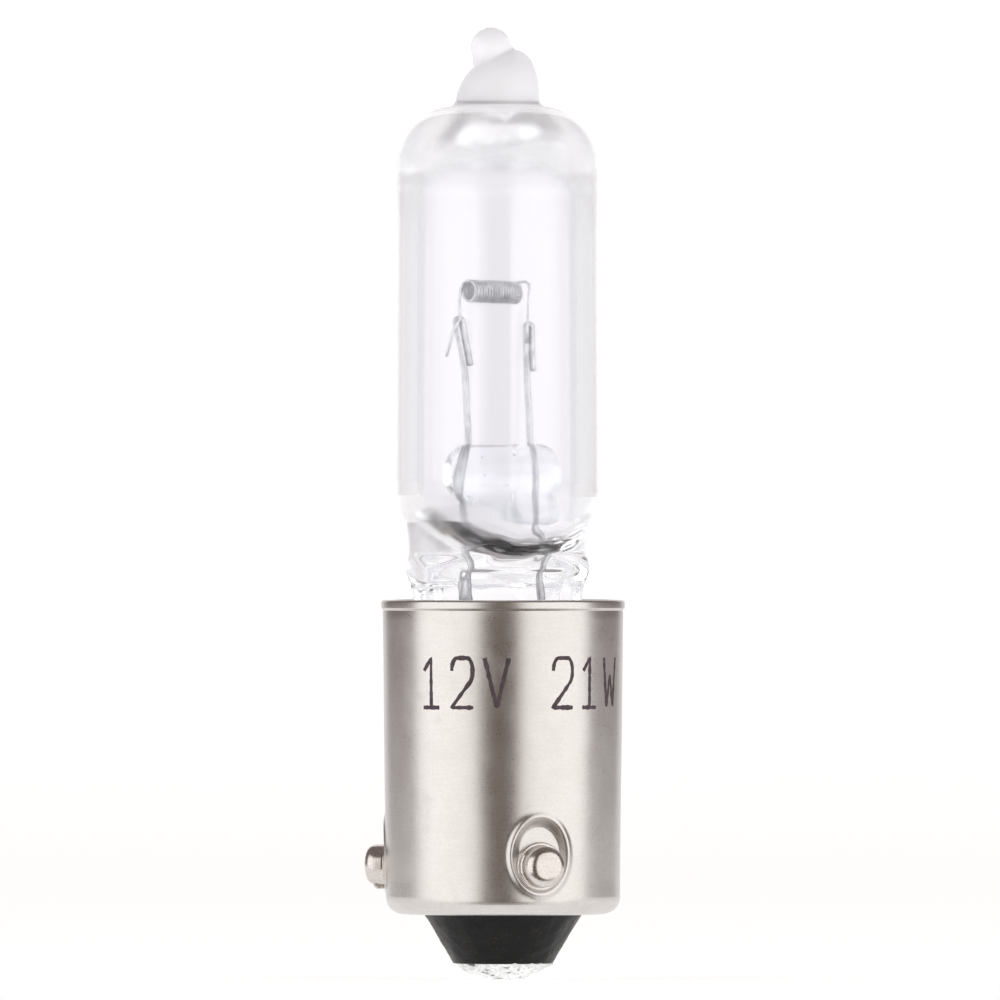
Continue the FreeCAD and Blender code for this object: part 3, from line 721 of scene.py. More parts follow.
class Kit:
    """The bulb's finishes, made once each."""

    def __init__(self) -> None:
        """Make every material."""
        self.shell = Nickel("satin_nickel").material()
        self.pin = Nickel("bright_nickel", (0.72, 0.68, 0.65), (0.60, 0.56, 0.53), 0.25).material()
        self.compound = BlackCompound().material()
        self.solder = Solder().material()
        self.glass = Glass("clear_glass").material()
        self.bead = Glass("bead_glass", (0.97, 0.98, 1.0), 0.012).material()
        self.wire = DrawnWire("grey_wire", (0.66, 0.66, 0.67), (0.40, 0.40, 0.41), 0.48).material()
        self.coil = DrawnWire("tungsten", (0.74, 0.74, 0.75), (0.44, 0.44, 0.45), 0.45).material()
        self.lead = DrawnWire("nickel_lead", (0.70, 0.68, 0.65), (0.48, 0.46, 0.43), 0.35).material()
        self.weld = DrawnWire("weld_metal", (0.50, 0.50, 0.51), (0.24, 0.23, 0.22), 0.55).material()
        self.brass = DrawnWire("eyelet_brass", (0.78, 0.62, 0.34), (0.52, 0.38, 0.18), 0.35).material()
        self.cement = Powdery(
            "basing_cement", (0.93, 0.91, 0.89), (0.80, 0.77, 0.74), 0.9, 1.4, 0.08).material()
        self.ink = Powdery(
            "marking_ink", (0.12, 0.09, 0.105), (0.06, 0.042, 0.052), 0.6, 5.0, 0.01).material()


def dress(piece: bpy.types.Object, material: bpy.types.Material, slot: str | None = None,
          *nodes: str) -> bpy.types.Object:
    """Give a piece its material and tie it to the part.

    Args:
        piece: The object.
        material: Its finish.
        slot: The record's material slot, if it has one; not used.
        nodes: The nodes that it stands for.

    Returns:
        The piece.
    """
    piece.data.materials.clear()
    piece.data.materials.append(material)
    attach(piece, "root")
    if nodes:
        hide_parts(*nodes)
    LOG.info("%s: %d faces", piece.name, len(piece.data.polygons))
    return piece


def node_box(node: str) -> tuple[Array, Array]:
    """The lowest and highest corner of a node, in millimetres."""
    low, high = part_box(node)
    return np.array(low) / MM, np.array(high) / MM


def node_points(node: str) -> Array:
    """Every mesh point of a node, in millimetres.

    Args:
        node: The node's name.

    Returns:
        Points by 3.
    """
    mesh = frame["nodes"][node].data
    flat = np.empty(len(mesh.vertices) * 3)
    mesh.vertices.foreach_get("co", flat)
    return flat.reshape(-1, 3) / MM


def mount_named(name: str) -> dict[str, Any]:
    """The record's mount of that name."""
    return next(m for m in frame["record"]["mounts"] if m["name"] == name)


# ---------------------------------------------------------------- cap


@dataclass
class CapShell:
    """Drawn nickel shell with a rolled lip, a round bottom edge and a dish round each pin."""

    wall: float = 0.35
    corner: float = 0.65
    lip_depth: float = 0.38
    lip_proud: float = 0.06
    taper: float = 0.12
    mouth_radius: float = 3.0
    dish_half_width: float = 1.09
    dish_half_height: float = 1.4
    dish_raise: float = 0.42
    dish_floor: float = 4.22
    dish_slope: float = 0.32
    rim_height: float = 0.07
    rim_width: float = 0.13
    rim_place: float = 0.06
    crowding: float = 2.6
    crowd_width: float = 0.33
    unevenness: float = 0.004
    columns: int = 400

    def __post_init__(self) -> None:
        """Read the shell's own height and radius, and where the pins stand."""
        low, high = node_box("cap_shell")
        self.bottom, self.top, self.lip_radius = low[2], high[2], high[0]
        self.low_radius = self.lip_radius - self.lip_proud - self.taper
        self.foot = self.bottom + self.corner
        pins = [mount_named(name)["axis"] for name in ("pin_front", "pin_side")]
        self.pin_turns = [math.atan2(axis[1], axis[0]) for axis in pins]

    def outside(self, height: Array | float) -> Array:
        """The outer radius at a height: a straight taper from the foot to the rim."""
        share = (np.asarray(height) - self.foot) / (self.top - self.foot)
        return self.low_radius + self.taper * np.clip(share, 0.0, 1.0)

    def profile(self) -> tuple[Array, int]:
        """The closed half section, from the mouth's edge up the outside and down the inside.

        Returns:
            The points, and how many of them lie on the outer side.
        """
        high = self.low_radius + self.taper
        lip = self.top - self.lip_depth
        outer = rounded_line(
            [(self.mouth_radius, self.bottom), (self.low_radius, self.bottom),
             (self.low_radius, self.foot + 0.6), (self.low_radius + 0.033, 2.1), (high, lip - 0.1),
             (high - 0.015, lip - 0.02), (high, lip + 0.01), (self.lip_radius, lip + 0.05),
             (self.lip_radius, self.top), (high - self.wall, self.top)],
            [0.08, self.corner, 0.0, 0.0, 0.0, 0.02, 0.015, 0.05, 0.13, 0.1])
        fine = outer[:, 1] < 2.2
        split = int(np.argmax(~fine))
        outer = np.concatenate([resampled(outer[:split], 0.05), resampled(outer[split - 1:], 0.3)[1:]])
        inner = rounded_line(
            [(high - self.wall, self.top - 0.1), (self.low_radius - self.wall, self.bottom + self.wall),
             (self.mouth_radius, self.bottom + self.wall), (self.mouth_radius, self.bottom + 0.05)],
            [0.0, self.corner - self.wall, 0.06, 0.0])
        return np.concatenate([outer, resampled(inner, 0.8)]), len(outer)

    def angles(self) -> Array:
        """Column angles that crowd together at the pins: the inverse of a summed density.

        Returns:
            The angles, rising from 0 over a full turn.
        """
        turn = np.linspace(0.0, TAU, 4001)
        density = np.ones_like(turn)
        for pin in self.pin_turns:
            away = np.angle(np.exp(1j * (turn - pin)))
            density += self.crowding * np.exp(-((away / self.crowd_width) ** 4))
        summed = np.concatenate([[0.0], np.cumsum((density[1:] + density[:-1]) / 2.0)])
        return np.interp(np.arange(self.columns) / self.columns * summed[-1], summed, turn)

    def dished(self, radius: Array, height: Array, turn: Array) -> Array:
        """Sink a bowl round each pin and raise a thin rim round it.

        With d the distance outside the ellipse round the pin, the radius goes to that of a flat floor,
        floor / cos(angle), as d falls from 0, and gains rim exp(-((d - place) / width)^2).

        Args:
            radius: The wall's radius at each point.
            height: Each point's height.
            turn: Each point's angle.

        Returns:
            The new radius.
        """
        for pin in self.pin_turns:
            away = np.angle(np.exp(1j * (turn - pin)))
            facing = np.abs(away) < 0.8
            across = radius * np.sin(away) / self.dish_half_width
            level = (height - self.dish_raise) / self.dish_half_height
            ring = np.hypot(across, level)
            outward = (ring - 1.0) * (self.dish_half_width + self.dish_half_height) / 2.0
            flat = np.minimum(self.dish_floor / np.cos(np.where(facing, away, 0.0)), radius)
            sunk = (1.0 - smoothstep(-self.dish_slope, 0.02, outward)) * facing
            crest = (outward - self.rim_place) / self.rim_width
            rim = self.rim_height * np.exp(-(crest ** 2)) * facing
            radius = radius * (1.0 - sunk) + flat * sunk + rim
        return radius

    def build(self, kit: Kit) -> None:
        """Make the shell.

        Args:
            kit: The finishes.
        """
        profile, outer = self.profile()
        turn = self.angles()
        radius = np.repeat(profile[:, :1], len(turn), axis=1)
        height = np.repeat(profile[:, 1:2], len(turn), axis=1)
        wall = slice(1, outer)
        radius[wall] = self.dished(radius[wall], height[wall], turn[None, :])
        dents = ripple(np.stack([radius * np.cos(turn), radius * np.sin(turn), height], axis=-1), 4.0, 3)
        radius = radius + self.unevenness * dents * smoothstep(self.bottom, self.foot, height)
        grid = upright(radius * np.cos(turn), radius * np.sin(turn), height)
        dress(Skin().grid(grid, loop=True).piece("shell"), kit.shell, "nickel_shell", "cap_shell")


@dataclass
class Pin:
    """Staked bayonet pin: a collar on the dish's floor and a cylinder with a round nose."""

    node: str
    mount: str
    collar: float = 0.92
    collar_top: float = 4.43
    inner_end: float = 4.0
    nose_round: float = 0.41
    burr: float = 0.0
    burr_place: float = 4.62

    def __post_init__(self) -> None:
        """Read the pin's line, radius and reach."""
        mount = mount_named(self.mount)
        self.axis = unit(np.array(mount["axis"], float))
        self.radius = mount["dims"]["r_mm"]
        self.reach = float((node_points(self.node) @ self.axis).max())

    def place(self, across: Array, along: Array, height: Array) -> Array:
        """A point on the pin: across it level, up, and out along its axis.

        Args:
            across: Level distance from the pin's axis.
            along: Upward distance from it.
            height: Distance from the cap's axis, along the pin.

        Returns:
            The points, last axis x, y, z.
        """
        side = np.cross([0.0, 0.0, 1.0], self.axis)
        up = np.array([0.0, 0.0, 1.0])
        return across[..., None] * side + along[..., None] * up + height[..., None] * self.axis

    def build(self, kit: Kit) -> None:
        """Make the pin.

        Args:
            kit: The finishes.
        """
        profile = rounded_line(
            [(self.radius * 0.7, self.inner_end), (self.collar, self.inner_end),
             (self.collar, self.collar_top), (self.radius + 0.03, self.collar_top),
             (self.radius - 0.012, self.collar_top + 0.05), (self.radius, self.collar_top + 0.12),
             (self.radius, self.reach), (0.08, self.reach)],
            [0.0, 0.02, 0.07, 0.03, 0.03, 0.05, self.nose_round, 0.0])
        profile = resampled(profile, 0.12)
        turn = even_turn(96)
        grid = turned_grid(profile, turn, self.place)
        face = smoothstep(self.reach - 0.12, self.reach, profile[:, 1])[:, None, None]
        grid = grid - self.axis * face * (0.008 + 0.004 * ripple(grid, 0.5, 21)[..., None])
        skin = Skin().grid(grid, start_pole=self.axis * self.inner_end,
                           end_pole=self.axis * (self.reach - 0.02))
        if self.burr:
            self.add_burr(skin)
        dress(skin.piece(self.node.replace("bayonet_", "")), kit.pin, "nickel_pin", self.node)

    def add_burr(self, skin: Skin) -> None:
        """Add the sliver of metal that hangs under the pin's foot and leans outwards.

        Args:
            skin: The pin's skin.
        """
        side = np.cross([0.0, 0.0, 1.0], self.axis)
        left, middle, right = (np.array([0.0, 0.0, level]) for level in (-0.72, -0.84, -0.76))
        path = self.axis * self.burr_place + rounded_line(
            [left - side * 0.3, middle, right + side * 0.22], [0.0, 0.15, 0.0], 6)
        outwards = self.axis * np.linspace(-0.1, 0.25, len(path))[:, None]
        tube(skin, path + outwards, self.burr, self.burr * 0.6, 10)


@dataclass
class Base:
    """Black insulating cone with the solder contact on its tip."""

    mouth_radius: float = 2.99
    tip_radius: float = 1.87
    bore: float = 0.235
    tube_bore: float = 0.76
    seat_bore: float = 1.61
    seat: float = 0.2
    solder_land: float = 0.5
    solder_round: float = 3.03

    def __post_init__(self) -> None:
        """Read the heights of the cone and of the solder."""
        low, high = node_box("insulator")
        self.tip, self.flange_top, self.flange = low[2], high[2], high[0]
        self.shell_bottom = node_box("cap_shell")[0][2]
        eyelet = node_box("contact_eyelet")
        self.tube_top = eyelet[1][2]
        self.contact = node_box("contact_solder")[0][2]
        self.contact_radius = node_box("contact_solder")[1][0]

    def cone(self, kit: Kit) -> None:
        """Make the insulator: a closed half section turned round, its outer face slightly uneven.

        Args:
            kit: The finishes.
        """
        floor = self.shell_bottom + CapShell.wall
        profile = rounded_line(
            [(self.seat_bore, self.tip), (self.tip_radius, self.tip),
             (self.mouth_radius, self.shell_bottom), (self.mouth_radius, floor),
             (self.flange, floor), (self.flange, self.flange_top),
             (self.bore, self.flange_top), (self.bore, self.tube_top), (self.tube_bore, self.tube_top),
             (self.tube_bore, self.tip + self.seat), (self.seat_bore, self.tip + self.seat)],
            [0.0, 0.07, 0.12, 0.0, 0.0, 0.05, 0.05, 0.0, 0.0, 0.0, 0.0], closed=True)
        profile = resampled(profile, 0.12)
        turn = even_turn(160)
        grid = turned_grid(profile, turn, upright)
        shown = smoothstep(self.tip, self.tip + 0.25, grid[..., 2])
        shown = shown * (1.0 - smoothstep(self.shell_bottom - 0.2, self.shell_bottom, grid[..., 2]))
        shown = shown * smoothstep(self.seat_bore, self.tip_radius, np.hypot(grid[..., 0], grid[..., 1]))
        lumps = 0.018 * ripple(grid, 1.3, 5) + 0.007 * ripple(grid, 0.35, 6)
        away = unit(grid * [1.0, 1.0, 0.0] + [0.0, 0.0, -1e-9])
        grid = grid + away * (shown * (lumps - 0.01))[..., None]
        cone = Skin().grid(grid, loop=True).piece("insulator_cone")
        dress(cone, kit.compound, "black_insulator", "insulator")

    def solder(self, kit: Kit) -> None:
        """Make the contact: a small land and an arc round it, with lumps and a ragged upper edge.

        Args:
            kit: The finishes.
        """
        drop = self.tip - self.contact
        width = self.contact_radius - self.solder_land
        chord = math.hypot(width, drop)
        half = math.asin(chord / 2.0 / self.solder_round)
        sweep = np.linspace(-half, half, 22)
        middle = np.array([self.solder_land + width / 2.0, self.tip - drop / 2.0])
        direction = np.array([width, drop]) / chord
        square = np.array([direction[1], -direction[0]])
        arc = middle - square * self.solder_round * math.cos(half) \
            + self.solder_round * (np.cos(sweep)[:, None] * square + np.sin(sweep)[:, None] * direction)
        land = np.stack([np.linspace(0.06, self.solder_land, 8), np.full(8, self.contact)], axis=1)[:-1]
        edge = np.array([[self.contact_radius + 0.03, self.tip + 0.04],
                         [self.contact_radius + 0.015, self.tip + 0.09],
                         [self.contact_radius - 0.12, self.tip + 0.1]])
        profile = np.concatenate([land, arc, edge])
        turn = even_turn(144)
        grid = turned_grid(profile, turn, upright)
        rows = np.arange(len(profile))[:, None]
        rim = smoothstep(len(profile) - 9, len(profile) - 3, rows)
        shaped = np.minimum(0.022 * ripple(grid, 0.8, 11) + 0.010 * ripple(grid, 0.25, 12), 0.03)
        inner = smoothstep(0.0, self.solder_land + 0.5, np.hypot(grid[..., 0], grid[..., 1]))
        lifted = np.abs(shaped) * inner * (1.0 - rim)
        grid[..., 2] = grid[..., 2] - np.minimum(shaped, 0.0) * (1.0 - inner) + lifted
        ragged = ripple(np.stack([np.cos(turn), np.sin(turn), turn * 0.0], axis=-1) * 1.9, 0.9, 13)
        grid[..., 2] += rim * (0.06 * ragged[None, :] + 0.04 - 0.08 * np.cos(turn)[None, :])
        skin = Skin().grid(grid, start_pole=np.array([0.0, 0.0, self.contact]),
                           end_pole=np.array([0.0, 0.0, self.tip + 0.12]))
        dress(skin.piece("solder_contact"), kit.solder, "solder", "contact_solder")

    def build(self, kit: Kit) -> None:
        """Make the cone and the solder."""
        self.cone(kit)
        self.solder(kit)


@dataclass
class Marking:
    """Plain rating mark on the shell, in dark printed strokes that stand a hair proud."""

    shell: CapShell
    text: str = "12V 21W"
    slots: tuple[float, ...] = (-37.0, -20.0, -3.0, 13.5, 30.0, 46.0, 63.0)
    width: float = 0.92
    height: float = 1.86
    base: float = 5.97
    stroke: float = 0.08
    relief: float = 0.012

    def strokes(self, letter: str) -> list[Array]:
        """The centre lines of a letter in a box one wide and one high.

        Args:
            letter: One of the mark's letters.

        Returns:
            One array of points for each stroke.
        """
        drawn = {
            "1": [([(0.16, 0.74), (0.52, 1.0), (0.52, 0.0)], 0.0), ([(0.12, 0.0), (0.92, 0.0)], 0.0)],
            "2": [([(0.05, 0.74), (0.08, 1.0), (0.95, 1.0), (0.95, 0.58), (0.04, 0.0), (0.98, 0.0)], 0.24)],
            "V": [([(0.0, 1.0), (0.5, 0.0), (1.0, 1.0)], 0.03)],
            "W": [([(0.0, 1.0), (0.22, 0.0), (0.5, 0.66), (0.78, 0.0), (1.0, 1.0)], 0.02)],
        }
        return [rounded_line(line, [bend if 0 < i < 4 else 0.0 for i in range(len(line))], 6)
                for line, bend in drawn.get(letter, [])]

    def build(self, kit: Kit) -> None:
        """Make the mark: each stroke is a flat tube laid on the shell's cone.

        Args:
            kit: The finishes.
        """
        skin = Skin()
        for letter, slot in zip(self.text, self.slots):
            for number, line in enumerate(self.strokes(letter)):
                line = resampled(line, 0.05)
                level = self.base + line[:, 1] * self.height
                radius = self.shell.outside(level) + 0.002
                turn = math.radians(slot) + (line[:, 0] - 0.5) * self.width / radius
                out = np.stack([np.sin(turn), -np.cos(turn), turn * 0.0], axis=1)
                path = out * radius[:, None] + np.stack([turn * 0.0, turn * 0.0, level], axis=1)
                wide = self.stroke * (1.0 + 0.16 * ripple(path, 0.22, 40 + number))
                tube(skin, path, wide, self.relief, 12, out)
        dress(skin.piece("rating_mark"), kit.ink)


# ---------------------------------------------------------------- glass


@dataclass
class Envelope:
    """One piece of glass: pressed seal, round shoulder, tube, dome and the sealed exhaust tip."""

    turn: float = math.radians(20.0)
    taper: float = 0.07
    wall: float = 0.8
    dome_round: float = 2.2
    dome_thickness: float = 1.3
    cavity_round: float = 2.2
    floor_round: float = 2.6
    floor_height: float = 11.9
    floor_shift: float = 0.7
    shoulder_top: float = 13.9
    slope_bottom: float = 10.6
    slope_top: float = 13.4
    press_half_width: float = 3.1
    press_half_depth: float = 1.2
    press_power: float = 8.0
    round_power: float = 2.0
    round_from: float = 11.8
    neck_flare: float = 0.34
    flare_rise: tuple[float, float] = (9.9, 11.8)
    neck_top: float = 12.95
    pad_half_width: float = 2.05
    pad_raise: float = 0.22
    pad_top: float = 11.1
    flutes: tuple[float, float] = (-1.35, 1.4)
    flute_width: float = 0.5
    flute_rise: float = 0.16
    lean: float = 0.2
    drum_radius: float = 1.6
    drum_height: float = 2.15
    drum_lean: float = 0.11
    nub_radius: float = 0.78
    nub_drop: float = 0.79
    nub_place: tuple[float, float] = (-0.24, -0.05)
    nub_joint: float = 0.22
    drum_joint: float = 0.25
    sight: float = 25.6
    columns: int = 240

    def __post_init__(self) -> None:
        """Read the tube's axis, radius and ends, and the tip's top."""
        low, high = node_box("glass_envelope")
        self.axis = (low[0] + high[0]) / 2.0
        self.radius = (high[0] - low[0]) / 2.0
        self.bottom, self.top = low[2], high[2]
        self.tip_top = node_box("exhaust_tip")[1][2]

    def tube_radius(self, height: Array) -> Array:
        """The straight tube's outer radius, which falls by the taper up to the dome."""
        share = (height - self.shoulder_top) / (self.top - self.dome_round - self.shoulder_top)
        return self.radius - self.taper * np.clip(share, 0.0, 1.0)

    def solid(self, across: Array, along: Array, height: Array) -> Array:
        """Negative inside the upper glass: dome, tip drum and nub, joined by a soft minimum.

        The soft minimum of a and b over k is min(a, b) - k h^2 / 4 with h = max(1 - |a - b| / k, 0).

        Args:
            across: Distance from the tube's axis along X.
            along: The same along Y.
            height: Height in the row's frame.

        Returns:
            A value that is 0 on the surface.
        """
        ring = np.hypot(across, along)
        edge = ring - (self.tube_radius(height) - self.dome_round)
        rise = height - (self.top - self.dome_round)
        dome = np.hypot(np.maximum(edge, 0.0), np.maximum(rise, 0.0))
        dome = dome + np.minimum(np.maximum(edge, rise), 0.0) - self.dome_round
        up = height - self.top
        lean = self.drum_lean * up * np.abs(up)
        level = ((across - lean) ** 2 + along ** 2) / self.drum_radius ** 2
        drum = (np.sqrt(level + (up / self.drum_height) ** 2) - 1.0) * self.drum_radius
        nub_x, nub_y = self.nub_place
        nub_height = self.tip_top - self.nub_drop
        nub = np.sqrt((across - nub_x) ** 2 + (along - nub_y) ** 2 + (height - nub_height) ** 2)
        nub = nub - self.nub_radius

        def soft(a: Array, b: Array, k: float) -> Array:
            """The soft minimum."""
            h = np.maximum(1.0 - np.abs(a - b) / k, 0.0)
            return np.minimum(a, b) - k * h * h / 4.0

        return soft(soft(drum, nub, self.nub_joint), dome, self.drum_joint)

    def upper(self, turn: Array) -> Array:
        """The dome and tip, found along rays from a point on the axis: the last crossing of solid = 0.

        Args:
            turn: Column angles.

        Returns:
            Rows by columns by 3, from level with that point to nearly straight up.
        """
        rise = np.concatenate([np.linspace(0.0, 1.0, 50), np.linspace(1.01, 1.564, 120)])[:, None]
        way = np.stack([np.cos(rise) * np.cos(turn), np.cos(rise) * np.sin(turn),
                        np.sin(rise) * np.ones_like(turn)], axis=-1)
        steps = np.linspace(2.0, 6.8, 97)

        def at(reach: Array) -> Array:
            """The solid's value at a distance along each ray."""
            return self.solid(way[..., 0] * reach, way[..., 1] * reach, self.sight + way[..., 2] * reach)

        inside = np.stack([at(np.full(way.shape[:2], s)) < 0.0 for s in steps], axis=-1)
        last = inside.shape[-1] - 1 - np.argmax(inside[..., ::-1], axis=-1)
        near, far = steps[last], steps[np.minimum(last + 1, len(steps) - 1)]
        for _ in range(18):
            middle = (near + far) / 2.0
            within = at(middle) < 0.0
            near, far = np.where(within, middle, near), np.where(within, far, middle)
        points = way * near[..., None]
        return points + np.array([self.axis, 0.0, self.sight])

    def lower(self, turn: Array) -> Array:
        """The press, shoulder and tube: a superellipse at each height.

        The radius at angle t is (|cos t / a|^n + |sin t / b|^n)^(-1/n), with the half width a, half depth b
        and power n going from the press's to the tube's through the shoulder.

        Args:
            turn: Column angles.

        Returns:
            Rows by columns by 3, rising.
        """
        foot = self.bottom + 0.4 * (1.0 - np.cos(np.linspace(0.0, math.pi / 2.0, 7)))
        press = np.linspace(4.2, self.slope_bottom, 17)
        shoulder = np.linspace(self.slope_bottom + 0.1, self.shoulder_top + 0.3, 71)
        tube_wall = np.linspace(14.8, self.sight - 0.25, 24)
        height = np.concatenate([foot, press, shoulder, tube_wall])
        height = height[:, None]
        body = self.tube_radius(height)
        narrow = np.clip((height - self.neck_top) / (self.shoulder_top + 0.25 - self.neck_top), 0.0, 1.0)
        neck = self.press_half_width + self.neck_flare * smoothstep(*self.flare_rise, height)
        wide = neck + (body - neck) * (1.0 - (1.0 - narrow) ** 2)
        slope = rounded_line([(self.press_half_depth, 9.0), (self.press_half_depth, self.slope_bottom),
                              (self.radius, self.slope_top), (self.radius, 16.0)], [0.0, 0.6, 1.4, 0.0], 24)
        deep = np.interp(height, slope[:, 1], slope[:, 0])
        deep = np.where(height > self.shoulder_top + 1.0, body, deep)
        rounder = smoothstep(self.slope_bottom, self.round_from, height)
        power = self.press_power + (self.round_power - self.press_power) * rounder
        local = turn - self.turn
        c, s = np.abs(np.cos(local)), np.abs(np.sin(local))
        radius = ((c / wide) ** power + (s / deep) ** power) ** (-1.0 / power)
        foot = smoothstep(0.0, 0.4, height - self.bottom + 0.15)
        radius = radius * (0.86 + 0.14 * foot)
        across, along = radius * np.cos(local), radius * np.sin(local)
        pad = 1.0 - smoothstep(self.pad_half_width - 0.12, self.pad_half_width + 0.06, np.abs(across))
        pad = pad * (1.0 - smoothstep(self.pad_top - 0.1, self.pad_top + 0.1, height))
        flat = pad * smoothstep(0.3, 0.9, np.abs(along))
        flutes = sum(np.exp(-(((across - place) / self.flute_width) ** 2)) for place in self.flutes)
        raised = self.pad_raise + self.flute_rise * flutes * smoothstep(9.95, 10.25, height)
        along = along + np.sign(along) * flat * raised
        x = across * math.cos(self.turn) - along * math.sin(self.turn)
        y = across * math.sin(self.turn) + along * math.cos(self.turn)
        z = np.broadcast_to(height, x.shape)
        return np.stack([x + self.axis, y, z], axis=-1)

    def cavity(self, turn: Array) -> Array:
        """The inner surface: floor bowl, straight wall, round ceiling and the closed exhaust channel.

        Args:
            turn: Column angles.

        Returns:
            Rows by columns by 3, rising.
        """
        low, high = self.radius - self.wall, self.radius - self.taper - self.wall
        ceiling = self.top - self.dome_thickness
        profile = rounded_line(
            [(0.05, self.floor_height), (low, self.floor_height), (high, ceiling), (0.5, ceiling),
             (0.03, ceiling + 0.3)],
            [0.0, self.floor_round, self.cavity_round, 0.25, 0.0], 20)
        profile = resampled(profile, 0.3)
        radius, height = profile[:, :1], profile[:, 1:2]
        across, along = radius * np.cos(turn), radius * np.sin(turn)
        across = across + self.lean * smoothstep(ceiling - 1.2, ceiling + 0.6, height)
        low_down = 1.0 - smoothstep(self.floor_height, self.floor_height + 2.2, height)
        across = across + self.floor_shift * low_down
        grid = np.stack([across + self.axis, along, np.broadcast_to(height, across.shape)], axis=-1)
        uneven = ripple(grid, 2.4, 31) * 0.03 * smoothstep(ceiling - 2.5, ceiling, height)
        uneven = uneven + ripple(grid, 1.5, 32) * 0.035 * (1.0 - smoothstep(12.3, 13.6, height))
        inward = unit(grid - np.array([self.axis, 0.0, 20.0]))
        return grid - inward * uneven[..., None]

    def build(self, kit: Kit) -> None:
        """Make the glass: its outside and, turned over, its cavity, in one mesh.

        Args:
            kit: The finishes.
        """
        turn = even_turn(self.columns)
        outside = np.concatenate([self.lower(turn), self.upper(turn)])
        skin = Skin()
        skin.grid(outside, start_pole=np.array([self.axis, 0.0, self.bottom]),
                  end_pole=outside[-1].mean(axis=0))
        cavity = self.cavity(turn)
        skin.grid(cavity, flip=True, start_pole=cavity[0].mean(axis=0), end_pole=cavity[-1].mean(axis=0))
        dress(skin.piece("glass"), kit.glass, "clear_glass", "glass_envelope", "exhaust_tip")


# ---------------------------------------------------------------- lamp mount


